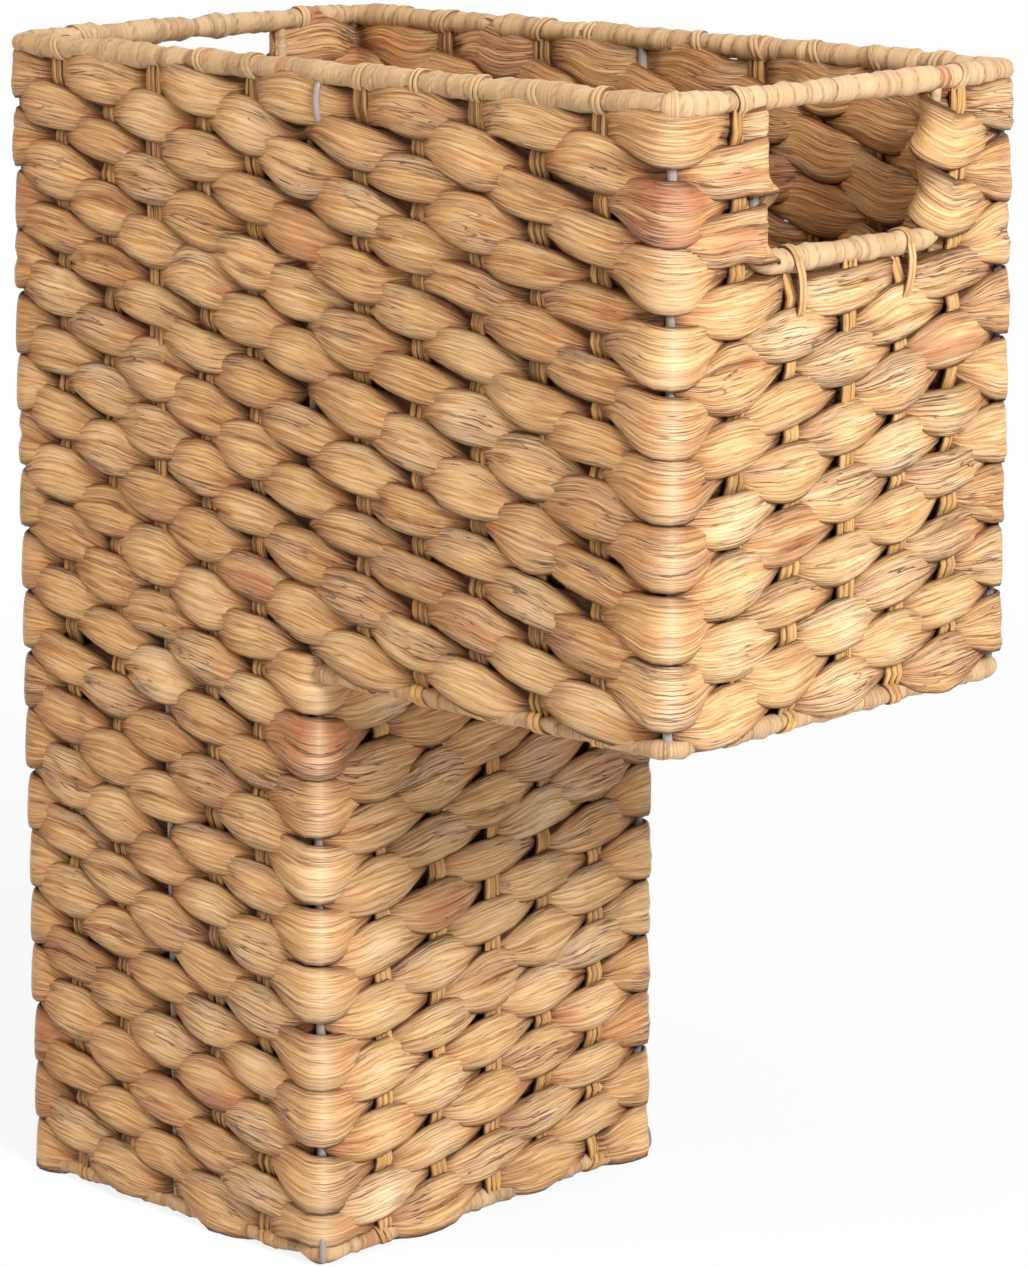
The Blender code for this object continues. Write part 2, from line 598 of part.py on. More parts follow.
def make_rim_bindings(wires, assembly):
    """The strips that are wound on the rim wires, with room for the wires welded to them."""
    upward = Vector((0, 0, 1))
    round_rim = round_section(RIM_RADIUS, RIM_RADIUS, BINDING_SIDES)
    flat_rim = flat_bottomed_section(RIM_RADIUS, RIM_FLAT_DEPTH, BINDING_SIDES)
    loops = {
        "top_rim_binding": (BACK_FRAME_X, FRONT_FRAME_X, TOP_RIM_Z, round_rim),
        "base_rim_binding": (BACK_FRAME_X, STEP_FRAME_X, RIM_LIFT, flat_rim),
    }
    bindings = {}
    for name, (x_low, x_high, z, section) in loops.items():
        path = rounded_path(loop_corners(x_low, x_high), RIM_BEND_RADIUS, cyclic=True)
        place = ((x_low + x_high) / 2, 0, z)
        shape = sweep(section, path, upward, cyclic=True)
        bindings[name] = add_piece(name, shape, place, BINDING_STRIP, assembly)

    start_x = STEP_X + CLEARANCE
    reach = FRONT_FRAME_X - start_x
    spots = [(0, -SIDE_FRAME_Y), (reach, -SIDE_FRAME_Y), (reach, SIDE_FRAME_Y), (0, SIDE_FRAME_Y)]
    path = rounded_path([Vector((x, y, 0)) for x, y in spots], RIM_BEND_RADIUS)
    shape = sweep(flat_rim, path, upward)
    name = "step_rim_binding"
    place = (start_x, 0, STEP_RIM_Z)
    bindings[name] = add_piece(name, shape, place, BINDING_STRIP, assembly)

    uprights = {
        "top_rim_binding": ["back_corner_wire_", "step_corner_wire_", "front_corner_wire_", "side_wire_"],
        "base_rim_binding": ["back_corner_wire_", "step_corner_wire_", "side_wire_"],
        "step_rim_binding": ["front_corner_wire_"],
    }
    bent = {
        "top_rim_binding": ["back_handle_wire", "front_handle_wire"],
        "base_rim_binding": ["centre_hoop_wire"],
        "step_rim_binding": ["overhang_centre_wire"],
    }
    for name, binding in bindings.items():
        bore = wires[name.replace("_binding", "_wire")]
        own = [wires[wire + side] for wire in uprights[name] for side in SIDES]
        cut(binding, [bore] + own + [wires[wire] for wire in bent[name]])


def make_handle_bindings(wires, assembly):
    """The strip wound on the bar of each handle."""
    upward = Vector((0, 0, 1))
    section = round_section(HANDLE_RADIUS, HANDLE_RADIUS, BINDING_SIDES)
    half = HANDLE_WIDTH / 2 - CLEARANCE
    handles = {
        "back": (BACK_FRAME_X, "centre_hoop_wire"),
        "front": (FRONT_FRAME_X, "overhang_centre_wire"),
    }
    for end, (x, centre_wire) in handles.items():
        shape = sweep(section, [Vector((0, -half, 0)), Vector((0, half, 0))], upward)
        place = (x, 0, HANDLE_BAR_Z)
        binding = add_piece(end + "_handle_binding", shape, place, BINDING_STRIP, assembly)
        cut(binding, [wires[end + "_handle_wire"], wires[centre_wire]])


def main():
    """Build the frame first, then the warps, and then what is woven and wound on them."""
    clear_scene()
    assembly = bpy.data.objects.new("stair_basket", None)
    bpy.context.collection.objects.link(assembly)
    wires = make_rim_wires(assembly)
    wires.update(make_upright_wires(assembly))
    wires.update(make_bent_wires(assembly))
    side_twines = make_side_twines(assembly)
    end_twines = make_end_twines(assembly)
    make_side_walls(wires, side_twines, assembly)
    make_end_walls(wires, end_twines, assembly)
    make_floors(wires, assembly)
    make_rim_bindings(wires, assembly)
    make_handle_bindings(wires, assembly)


main()
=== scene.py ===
# Stair basket of woven water hyacinth on a wire frame.
import math
from functools import partial

import bmesh
import bpy
import numpy as np
from bpy.props import FloatProperty, FloatVectorProperty, IntProperty, PointerProperty
from mathutils import Matrix, Vector


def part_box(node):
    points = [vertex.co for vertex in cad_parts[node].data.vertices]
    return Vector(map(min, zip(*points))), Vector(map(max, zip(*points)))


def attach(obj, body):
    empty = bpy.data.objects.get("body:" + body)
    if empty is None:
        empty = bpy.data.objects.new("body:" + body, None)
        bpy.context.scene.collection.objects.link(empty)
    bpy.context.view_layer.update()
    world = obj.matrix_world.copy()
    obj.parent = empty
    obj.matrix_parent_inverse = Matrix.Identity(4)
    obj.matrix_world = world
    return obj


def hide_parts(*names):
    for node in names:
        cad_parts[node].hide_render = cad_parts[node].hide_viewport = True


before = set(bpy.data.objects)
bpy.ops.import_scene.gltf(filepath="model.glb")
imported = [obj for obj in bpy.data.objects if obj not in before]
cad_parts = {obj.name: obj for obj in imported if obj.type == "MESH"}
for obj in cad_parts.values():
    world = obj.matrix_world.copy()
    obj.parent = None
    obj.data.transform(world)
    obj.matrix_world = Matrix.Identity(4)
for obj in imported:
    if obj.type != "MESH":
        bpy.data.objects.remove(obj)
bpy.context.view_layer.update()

bl_info = {
    "name": "Woven stair basket",
    "version": (1, 0, 0),
    "blender": (4, 5, 0),
    "location": "View3D > Sidebar > Basket",
    "description": "Weaves, binds and lights a stair basket round its wire frame",
    "category": "Object",
}

SIDES = (("left", -1.0), ("right", 1.0))
UPRIGHT = (0.0, 0.0, 1.0)
WIRE_RADIUS = 0.0016
# Height above the floor up to which a piece gets a painted shadow
FLOOR_SHADE = 0.0022


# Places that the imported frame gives

def middle(node):
    """Centre of a node's box, in metres."""
    low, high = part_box(node)
    return tuple((a + b) / 2 for a, b in zip(low, high))


BACK_WARP_X = middle("back_twine_1")[0]
STEP_WARP_X = middle("lower_front_twine_1")[0]
FRONT_WARP_X = middle("overhang_front_twine_1")[0]
SIDE_WARP_Y = abs(middle("side_twine_left_1")[1])
TOP_RIM_Z = middle("top_rim_wire")[2]
STEP_RIM_Z = middle("step_rim_wire")[2]
BASE_RIM_Z = middle("base_rim_wire")[2]
HANDLE_BAR_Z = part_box("front_handle_wire")[0][2] + WIRE_RADIUS
HANDLE_POST_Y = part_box("front_handle_wire")[1][1] - WIRE_RADIUS
LOWER_SIDE_WARPS = [middle(n)[0] for n in ("side_twine_left_1", "side_twine_left_2", "side_wire_left",
                                           "side_twine_left_3", "side_twine_left_4")]
STEP_CORNER_X = middle("step_corner_wire_left")[0]
OVERHANG_SIDE_WARPS = [middle(f"side_twine_left_{n}")[0] for n in range(5, 10)]
END_WARPS = sorted([middle(f"back_twine_{n}")[1] for n in range(1, 5)] + [0.0])


def from_screen(*values):
    """A colour picked on screen, 0 to 255, as Blender's linear colour."""
    return tuple(((v / 255 + 0.055) / 1.055) ** 2.4 if v > 10 else v / 255 / 12.92 for v in values)


# Sizes and colours that a user would change

def length(name, description, default):
    return FloatProperty(name=name, description=description, default=default, min=0.0, unit="LENGTH",
                         precision=4)


def ratio(name, description, default):
    return FloatProperty(name=name, description=description, default=default, min=0.0, max=1.0)


def row_count(name, description, default):
    return IntProperty(name=name, description=description, default=default, min=1)


def colour(name, description, *screen):
    return FloatVectorProperty(name=name, description=description, default=from_screen(*screen), size=3,
                               min=0.0, max=1.0, subtype="COLOR")


class WeaveSizes(bpy.types.PropertyGroup):
    strand_height: length("Strand height", "Height of a lobe of the weft where it passes a warp", 0.0172)
    start_power: ratio("Start power", "How pointed a lobe's start is", 0.62)
    tip_power: ratio("Tip power", "How pointed a lobe's tip is", 0.60)
    strand_reach: length("Strand reach", "How far a strand's face rises between two warps", 0.0059)
    strand_tuck: length("Strand tuck", "How far a strand's face goes in under a warp", 0.0006)
    lead: ratio("Lead", "Share of a bay by which a strand comes out before its warp", 0.08)
    corner_droop: length("Corner droop", "How far a strand hangs down where it rounds a corner wire", 0.0014)
    side_slant: length("Side slant", "How far a strand drops on the sides as it passes a warp", 0.0023)
    end_rise: length("End rise", "How far a strand rises on the ends as it passes a warp", 0.0011)
    corner_bend: length("Corner bend", "Radius of the weft's mid line at a corner wire", 0.005)
    lower_rows: row_count("Lower rows", "Weft rows below the step", 19)
    upper_rows: row_count("Upper rows", "Weft rows above the step", 18)
    first_row: length("First row", "Height of the lowest row's middle", 0.0096)
    last_row: length("Last row", "Height of the top row's middle", 0.3863)
    lower_top_row: length("Lower top row", "Height of the row under the step", 0.1996)
    handle_rows: row_count("Handle rows", "Rows that stop at the handle posts", 5)
    turn_radius: length("Turn radius", "Radius at which the weft turns round a handle post", 0.0034)
    fan_reach: length("Fan reach", "How near a handle post a strand spreads into a fan", 0.0095)
    fan_height: length("Fan height", "Height of the fan round a handle post", 0.0188)
    last_fan_height: length("Last fan height", "Height of the fan of the top row", 0.0146)
    fan_depth: length("Fan depth", "Thickness of a fan", 0.0038)


class BindingSizes(bpy.types.PropertyGroup):
    rim_radius: length("Rim radius", "Outer radius of a bound rim", 0.0039)
    low_rim_radius: length("Low rim radius", "Outer radius of the bound base rim and step rim", 0.0030)
    handle_radius: length("Handle radius", "Outer radius of the bound handle bar", 0.0038)
    post_radius: length("Post radius", "Radius of the bare handle post", 0.0019)
    strip_width: length("Strip width", "Width that one turn of the binding strip covers", 0.0078)
    strip_step: length("Strip step", "Height of the edge where a turn overlaps the last", 0.0005)
    rim_bend: length("Rim bend", "Radius of a rim's corner", 0.0052)
    handle_bend: length("Handle bend", "Radius where a handle's bar meets its posts", 0.008)


class TwineSizes(bpy.types.PropertyGroup):
    strand_width: length("Twine strand width", "Width of one of a warp's strands", 0.0027)
    strand_depth: length("Twine strand depth", "Thickness of one of a warp's strands", 0.0020)
    spread: length("Spread", "Distance between a warp's strands", 0.0024)
    swing: length("Swing", "How far a warp swings between rows", 0.0019)
    loop_width: length("Loop width", "Width of the loop that ties a warp to a handle bar", 0.0032)


class BasketColours(bpy.types.PropertyGroup):
    straw: colour("Straw", "Main colour of the weft", 216, 170, 112)
    pale_straw: colour("Pale straw", "Sunlit and worn weft", 238, 206, 164)
    tan: colour("Tan", "Darker weft", 176, 118, 68)
    rose_grey: colour("Rose grey", "Weft strands with a grey cast", 192, 156, 130)
    russet: colour("Russet", "Reddish patches of the weft", 164, 88, 54)
    # this colour is also the one that the painted shade darkens to
    line_and_shade: colour("Crevice", "Dark fibre lines", 86, 50, 25)
    cream: colour("Cream", "Binding strip and worn edges", 198, 163, 119)
    buff: colour("Buff", "Darker turns of the binding strip", 172, 132, 92)
    honey: colour("Honey", "Warp twine", 192, 142, 80)
    umber: colour("Umber", "Warp twine in the shade", 104, 70, 44)
    wire_grey: colour("Wire grey", "Coating of the frame wire", 150, 136, 126)


# Materials

def add_node(tree, kind, settings=None, **inputs):
    """A shader node with its settings, its inputs set or joined by name."""
    node = tree.nodes.new(kind)
    for key, value in (settings or {}).items():
        setattr(node, key, value)
    for key, value in inputs.items():
        name = key.replace("_", " ")
        socket = node.inputs[int(key[1:])] if key[1:].isdigit() else node.inputs[name]
        if isinstance(value, bpy.types.NodeSocket):
            tree.links.new(value, socket)
        else:
            socket.default_value = value
    return node


def maths(tree, operation, a, b=0.0, clamp=False):
    settings = {"operation": operation, "use_clamp": clamp}
    return add_node(tree, "ShaderNodeMath", settings, i0=a, i1=b).outputs[0]


def mixed(tree, factor, a, b):
    node = add_node(tree, "ShaderNodeMix", {"data_type": "RGBA"}, i0=factor)
    for socket, value in ((node.inputs[6], a), (node.inputs[7], b)):
        if isinstance(value, bpy.types.NodeSocket):
            tree.links.new(value, socket)
        else:
            socket.default_value = (*value, 1.0)
    return node.outputs[2]


def ranged(tree, value, low, high, to_low=0.0, to_high=1.0):
    settings = {"clamp": True, "interpolation_type": "SMOOTHSTEP"}
    node = add_node(tree, "ShaderNodeMapRange", settings, Value=value)
    for name, number in (("From Min", low), ("From Max", high), ("To Min", to_low), ("To Max", to_high)):
        node.inputs[name].default_value = number
    return node.outputs[0]


def stretched_noise(tree, along, across, fineness, roughness=0.55, distortion=0.0):
    """Noise drawn out along the strand, in features per metre."""
    where = add_node(tree, "ShaderNodeUVMap", {"uv_map": "strand"}).outputs[0]
    place = add_node(tree, "ShaderNodeMapping", Vector=where, Scale=(along, across, 1.0)).outputs[0]
    return add_node(tree, "ShaderNodeTexNoise", {"noise_dimensions": "2D"}, Vector=place, Scale=1.0,
                    Detail=fineness, Roughness=roughness, Distortion=distortion).outputs[0]


def thin_lines(tree, noise, inner, outer):
    """1 where the noise crosses its middle value, 0 further off."""
    off = maths(tree, "ABSOLUTE", maths(tree, "SUBTRACT", noise, 0.5))
    return ranged(tree, off, inner, outer, 1.0, 0.0)


def seen_directly(tree):
    """1 for what the camera sees, straight or in a reflection, and 0 for the light that falls on things."""
    rays = add_node(tree, "ShaderNodeLightPath")
    return maths(tree, "MAXIMUM", rays.outputs["Is Camera Ray"],
                 maths(tree, "MAXIMUM", rays.outputs["Is Glossy Ray"], rays.outputs["Is Transmission Ray"]))


def join_surface(tree, shader, coat, height, strength, depth):
    """Joins a shader's colour, and its bump from a height."""
    tree.links.new(coat, shader.inputs["Base Color"])
    bump = add_node(tree, "ShaderNodeBump", Height=height, Strength=strength, Distance=depth)
    tree.links.new(bump.outputs[0], shader.inputs["Normal"])


def new_material(name, roughness, specular):
    material = bpy.data.materials.new(name)
    material.use_nodes = True
    shader = material.node_tree.nodes["Principled BSDF"]
    shader.inputs["Roughness"].default_value = roughness
    shader.inputs["Specular IOR Level"].default_value = specular
    return material, material.node_tree, shader


def plant_material(name, dark_tone, main_tone, pale_tone, wear_and_highlight_tone, patch_tone, grey_tone, line_and_shade_tone,
                   fibres, folds, line_strength, bump_depth):
    """A dried plant strip: fibres along it, folds, and tones kept in the strand's own attribute, with painted
    shade and a painted highlight.
    """
    material, tree, shader = new_material(name, 0.58, 0.32)
    plus, minus, times = (partial(maths, tree, kind) for kind in ("ADD", "SUBTRACT", "MULTIPLY"))
    # the attribute holds the tone, the reddish patch, wear with a painted highlight, and in its fourth
    # channel painted shade at tips, edges, creases and the floor
    stored = add_node(tree, "ShaderNodeAttribute", {"attribute_name": "tone"})
    parts, pinch_shade = add_node(tree, "ShaderNodeSeparateColor", Color=stored.outputs[0]), stored.outputs[3]
    tone, patch, wear_and_highlight = (parts.outputs[n] for n in range(3))
    fine = stretched_noise(tree, *fibres, 5.0, 0.62)
    fold = stretched_noise(tree, *folds, 3.0, 0.5, 0.2)
    broad = stretched_noise(tree, folds[0] * 1.4, folds[1] * 0.22, 2.0)
    hair = stretched_noise(tree, folds[0] * 1.3, folds[1] * 3.5, 2.0, 0.5, 0.05)
    # the long lines break up, and the hairs never stop: both are denser where a strand is pinched
    breaks = ranged(tree, plus(broad, times(pinch_shade, 0.36)), 0.46, 0.70)
    lines = times(thin_lines(tree, fold, 0.001, 0.011), breaks)
    hairs = times(thin_lines(tree, hair, 0.004, 0.026), plus(0.33, times(breaks, 0.62)))
    lines = maths(tree, "MAXIMUM", lines, hairs)
    streaks = ranged(tree, fine, 0.32, 0.68)
    level = plus(plus(times(tone, 0.42), times(streaks, 0.36)), 0.19)
    # painted shade also lowers the tone
    ramp = add_node(tree, "ShaderNodeValToRGB", i0=minus(level, times(pinch_shade, 0.30), clamp=True))
    stops = ramp.color_ramp.elements
    stops[0].position, stops[0].color = 0.22, (*dark_tone, 1.0)
    stops[1].position, stops[1].color = 0.92, (*pale_tone, 1.0)
    stops.new(0.55).color = (*main_tone, 1.0)
    coat = mixed(tree, times(ranged(tree, broad, 0.5, 0.75), 0.35), ramp.outputs[0], grey_tone)
    coat = mixed(tree, times(patch, ranged(tree, fold, 0.3, 0.62), clamp=True), coat, patch_tone)
    # wear on the twine's loops, and on the weft a painted highlight where it rounds a corner wire
    coat = mixed(tree, times(wear_and_highlight, 0.8), coat, wear_and_highlight_tone)
    coat = mixed(tree, times(lines, line_strength), coat, line_and_shade_tone)
    # painted shade: towards the line colour where the strand is pinched, at its edges, in creases and at the
    # floor
    coat = mixed(tree, times(maths(tree, "POWER", pinch_shade, 2.0), 0.92), coat, line_and_shade_tone)
    tree.links.new(ranged(tree, fine, 0.25, 0.75, 0.50, 0.68), shader.inputs["Roughness"])
    height = plus(minus(times(fine, 0.9), times(lines, 0.6)), times(fold, 0.7))
    join_surface(tree, shader, coat, height, 1.0, bump_depth)
    return material


def wire_material(grey):
    """Smooth coated wire with faint scuffs."""
    material, tree, shader = new_material("coated wire", 0.42, 0.45)
    where = add_node(tree, "ShaderNodeTexCoord").outputs["Object"]
    scuffs, clouds = (add_node(tree, "ShaderNodeTexNoise", Vector=where, Scale=scale, Detail=fineness,
                               Roughness=roughness).outputs[0]
                      for scale, fineness, roughness in ((420.0, 4.0, 0.6), (60.0, 2.0, 0.5)))
    coat = mixed(tree, ranged(tree, clouds, 0.35, 0.7), grey, tuple(v * 0.72 for v in grey))
    tree.links.new(ranged(tree, scuffs, 0.3, 0.7, 0.34, 0.55), shader.inputs["Roughness"])
    join_surface(tree, shader, coat, scuffs, 0.25, 0.0001)
    return material


# Each plant material's tones, from dark to the tone of its lines and painted shade, then its fibres and folds
# per metre, the strength of its lines and the depth of its bump
PLANT_LOOKS = {
    "woven hyacinth": (("tan", "straw", "pale_straw", "pale_straw", "russet", "rose_grey", "line_and_shade"),
                       (40.0, 1250.0), (16.0, 330.0), 0.85, 0.00085),
    "binding strip": (("buff", "cream", "cream", "cream", "russet", "buff", "line_and_shade"),
                      (60.0, 1800.0), (22.0, 420.0), 0.40, 0.00022),
    "warp twine": (("umber", "honey", "straw", "cream", "russet", "honey", "line_and_shade"),
                   (40.0, 2200.0), (18.0, 900.0), 0.6, 0.00018)}


def basket_material(kind):
    """The basket's materials, each made once."""
    found = bpy.data.materials.get(kind)
    if found:
        return found
    colours = bpy.context.scene.basket_colours
    if kind not in PLANT_LOOKS:
        return wire_material(colours.wire_grey)
    tones, *looks = PLANT_LOOKS[kind]
    return plant_material(kind, *(getattr(colours, tone) for tone in tones), *looks)


# Strands laid from grids

def detail(full):
    return full


def add_piece(name, bm, material, slot, *nodes):
    """Puts a piece in the scene, on the frame's body, with its grids' seams welded and its faces outwards."""
    bmesh.ops.remove_doubles(bm, verts=bm.verts, dist=1e-7)
    if bm.calc_volume(signed=True) < 0:
        bmesh.ops.reverse_faces(bm, faces=bm.faces)
    mesh = bpy.data.meshes.new(name)
    bm.to_mesh(mesh)
    bm.free()
    mesh.materials.append(basket_material(material))
    mesh.shade_smooth()
    piece = bpy.data.objects.new(name, mesh)
    bpy.context.scene.collection.objects.link(piece)
    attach(piece, "root")
    if nodes:
        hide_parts(*nodes)
    return piece


def lay_grid(bm, points, places, tones):
    """Adds a grid wrapped through points[along, round], with its UV places and tones."""
    along, around = points.shape[0] - 1, points.shape[1] - 1
    sheet = bmesh.new()
    bmesh.ops.create_grid(sheet, x_segments=along, y_segments=around, size=0.5)
    mesh = bpy.data.meshes.new("strand")
    sheet.to_mesh(mesh)
    sheet.free()
    flat = np.empty(len(mesh.vertices) * 3)
    mesh.vertices.foreach_get("co", flat)
    flat = flat.reshape(-1, 3)
    i = np.rint((flat[:, 0] + 0.5) * along).astype(int)
    j = np.rint((flat[:, 1] + 0.5) * around).astype(int)
    mesh.vertices.foreach_set("co", points[i, j].astype(np.float32).ravel())
    corners = np.empty(len(mesh.loops), dtype=np.int32)
    mesh.loops.foreach_get("vertex_index", corners)
    mesh.uv_layers.new(name="strand")
    mesh.uv_layers["strand"].data.foreach_set("uv", places[i, j][corners].astype(np.float32).ravel())
    tone_layer = mesh.color_attributes.new("tone", "FLOAT_COLOR", "POINT")
    tone_layer.data.foreach_set("color", tones[i, j].astype(np.float32).ravel())
    bm.from_mesh(mesh)
    bpy.data.meshes.remove(mesh)


def unit(vectors):
    return vectors / np.maximum(np.linalg.norm(vectors, axis=-1, keepdims=True), 1e-12)


def walked_along(points):
    """Distance walked up to each point."""
    return np.concatenate([[0], np.cumsum(np.linalg.norm(np.diff(points, axis=0), axis=1))])


def read_along(where, run, points):
    """Points, or directions, known along a run and read at other places of it."""
    return np.stack([np.interp(where, run, column) for column in points.T], axis=-1)


def softened(values, reach=2):
    """Values along a strand, each the mean of those near it."""
    window = np.ones(2 * reach + 1) / (2 * reach + 1)
    return np.convolve(np.pad(values, reach, mode="edge"), window, "valid")


def softened_path(points, reach=2):
    return np.stack([softened(column, reach) for column in points.T], axis=-1)


def each(value, count):
    """One number for each of count places."""
    return np.broadcast_to(np.asarray(value, dtype=float), (count,))


def tangents(centres, closed):
    if closed:
        ahead = np.roll(centres[:-1], -1, axis=0) - np.roll(centres[:-1], 1, axis=0)
        return unit(np.vstack([ahead, ahead[:1]]))
    return unit(np.gradient(centres, axis=0))


def painted_floor_shadow(points):
    """Painted shadow where a piece meets the floor, 1 at the floor itself."""
    return np.clip(1 - points[..., 2] / FLOOR_SHADE, 0, 1) ** 0.5


def lay_strand(bm, centres, heights, thicknesses, tone, patch, wear_and_highlight, start, closed, around, tilt=0.0,
               pinch_shade=0.0, upright=UPRIGHT, ridges=None, crease=None, square=0.9, flat=0.95, inner_face=None):
    """Sweeps a soft flattened strand along its centres. Open ends are drawn to a point.

    inner_face holds the heights and the painted shade at the tips of the face that looks inwards, where they
    differ.
    """
    count = len(centres)
    ahead = tangents(centres, closed)
    outward = unit(np.cross(ahead, np.broadcast_to(np.array(upright), ahead.shape)))
    rising = np.cross(outward, ahead)
    tilt = each(tilt, count)[:, None]
    lean_out = outward * np.cos(tilt) + rising * np.sin(tilt)
    lean_up = rising * np.cos(tilt) - outward * np.sin(tilt)
    angle = np.linspace(0, 2 * math.pi, around + 1)
    angle[-1] = 0.0
    cosine, sine = -np.cos(angle), np.sin(angle)
    across = np.sign(cosine) * np.abs(cosine) ** square
    through = np.sign(sine) * np.abs(sine) ** flat
    heights, thicknesses = each(heights, count).copy(), each(thicknesses, count).copy()
    if not closed:
        taper = np.ones(count)
        taper[[0, -1]], taper[[1, -2]], taper[[2, -3]] = 0.0, 0.6, 0.88
        heights *= taper
        thicknesses *= taper
    a = heights[:, None] / 2 * across
    b = thicknesses[:, None] / 2 * through
    pinch_shade = each(pinch_shade, count)[:, None]
    if inner_face is not None:
        outer_share = np.clip(0.5 + 0.9 * through, 0, 1)
        a = across / 2 * (heights[:, None] * outer_share + inner_face[0][:, None] * (1 - outer_share))
        pinch_shade = pinch_shade * outer_share + inner_face[1][:, None] * (1 - outer_share)
    if ridges is not None:
        a = a * (1 + ridges * 0.25)
        b = b * (1 + ridges)
    groove = 0.0
    if crease is not None:
        depth, place = crease
        groove = np.exp(-((across - place[:, None]) / 0.13) ** 2) * depth[:, None]
        b = b - np.sign(through) * groove * np.abs(through)
    points = centres[:, None, :] + lean_up[:, None, :] * a[..., None] + lean_out[:, None, :] * b[..., None]
    points[..., 2] = np.maximum(points[..., 2], 0.0)
    run = walked_along(centres) + start
    wound = np.linspace(0, 1, around + 1) * np.max(heights) * 2.2
    places = np.stack(np.broadcast_arrays(run[:, None], wound[None, :]), axis=-1).copy()
    places[..., 1] += start * 0.37
    shades = np.ones(points.shape[:2] + (4,))
    for channel, value in enumerate((tone, patch, wear_and_highlight)):
        shades[..., channel] = each(value, count)[:, None]
    # painted shade: the strand darkens where it is pinched, towards its edges and in its crease, with a
    # painted shadow at the floor
    edge = np.clip((np.abs(across) - 0.74) / 0.26, 0, 1) ** 1.4
    dark = pinch_shade + edge[None, :] + groove * 500
    shades[..., 3] = np.clip(np.maximum(dark, painted_floor_shadow(points)), 0, 1)
    lay_grid(bm, points, places, shades)


def eased(values, where):
    """Values given at whole numbers, round a ring, read smoothly in between."""
    base = np.floor(where).astype(int)
    share = where - base
    share = share * share * (3 - 2 * share)
    size = len(values)
    return values[base % size] * (1 - share) + values[(base + 1) % size] * share


def ridge_pattern(rng, run, around, strength):
    """Soft folds that run along a strand and wander round it."""
    angle = np.linspace(0, 2 * math.pi, around + 1)[None, :]
    total = np.zeros((len(run), around + 1))
    for waves in (4, 6, 9, 11):
        drift = rng.uniform(-14, 14) * run + 1.3 * np.sin(run * rng.uniform(60, 140) + rng.uniform(0, 6))
        total += np.cos(waves * angle + drift[:, None] + rng.uniform(0, 6.28)) * rng.uniform(0.5, 1.0)
    return total * strength / 2


# The ring of walls that each weft row follows

class WallRing:
    """Mid line round four walls, counted in bays from the back left corner."""

    def __init__(self, front_x, side_warps, bend):
        back_x, side_y = BACK_WARP_X, SIDE_WARP_Y
        points, normals = [], []
        middles = ((back_x + bend, bend - side_y), (front_x - bend, bend - side_y),
                   (front_x - bend, side_y - bend), (back_x + bend, side_y - bend))
        sweeps = ((225, 270, 0), (270, 360, 1), (0, 90, 2), (90, 180, 3), (180, 225, 0))
        for start, end, corner in sweeps:
            for degrees in np.linspace(start, end, 13):
                turn = math.radians(degrees)
                direction = np.array((math.cos(turn), math.sin(turn)))
                points.append(np.array(middles[corner]) + bend * direction)
                normals.append(direction)
        self.points, self.normals = np.array(points), np.array(normals)
        self.run = walked_along(self.points)
        self.length = self.run[-1]
        arc = bend * math.pi / 2
        long, wide = front_x - back_x - 2 * bend, 2 * side_y - 2 * bend
        left_start, front_start = arc / 2, arc / 2 + long + arc
        right_start, back_start = front_start + wide + arc, front_start + wide + 2 * arc + long
        left = [left_start + x - back_x - bend for x in side_warps]
        front = [front_start + y + side_y - bend for y in END_WARPS]
        right = [right_start + front_x - bend - x for x in reversed(side_warps)]
        back = [back_start + side_y - bend - y for y in reversed(END_WARPS)]
        corners = (0.0, front_start - arc / 2, right_start - arc / 2, back_start - arc / 2)
        stations = []
        for corner, run in zip(corners, (left, front, right, back)):
            stations += [corner] + run
        self.bays = len(stations)
        self.stations = np.array(stations + [self.length])
        self.corners = np.array(corners + (self.length,))
        self.side_bays = len(side_warps) + 1
        front_middle, back_middle = front_start + side_y - bend, back_start + side_y - bend
        self.front_posts = (front_middle - HANDLE_POST_Y, front_middle + HANDLE_POST_Y)
        self.back_posts = (back_middle - HANDLE_POST_Y, back_middle + HANDLE_POST_Y)

    def run_at(self, bay):
        laps = np.floor(bay / self.bays)
        return np.interp(bay - laps * self.bays, np.arange(self.bays + 1), self.stations) + laps * self.length

    def bay_at(self, run):
        laps = np.floor(run / self.length)
        return np.interp(run - laps * self.length, self.stations, np.arange(self.bays + 1)) + laps * self.bays

    def place(self, run):
        run = np.mod(run, self.length)
        return read_along(run, self.run, self.points), unit(read_along(run, self.run, self.normals))

    def on_side(self, bay):
        """1 on the long sides, 0 on the ends, eased round the corners."""
        end_bays = len(END_WARPS) + 1
        turn = np.mod(bay, self.side_bays + end_bays)
        inside = np.minimum(turn, self.side_bays - turn)
        return np.clip(inside + 0.5, 0, 1)


# Lobes with a reddish patch, as row and bay: those of the upper rows, then those below the step
REDDISH_LOBES = {(34, 12): 0.95, (33, 13): 0.6, (32, 0): 0.8, (21, 5): 0.7, (23, 3): 0.4, (29, 17): 0.6,
                 (24, 14): 0.5, (16, 6): 0.6, (4, 0): 0.8, (11, 3): 0.4, (7, 9): 0.4}


def row_heights(sizes):
    """Height of each row's middle, from the base up."""
    lower = np.linspace(sizes.first_row, sizes.lower_top_row, sizes.lower_rows)
    step = lower[1] - lower[0]
    upper = np.linspace(sizes.lower_top_row + step, sizes.last_row, sizes.upper_rows)
    return np.concatenate([lower, upper])


# Shares of its length over which a lobe's face rises and falls, and how far it sags in between
LOBE_RISE, LOBE_FALL, LOBE_SAG = 0.33, 0.30, 0.34
# A lobe's middle falls over this share of its length, and returns over the rest
SLOPE_SHARE = 0.70
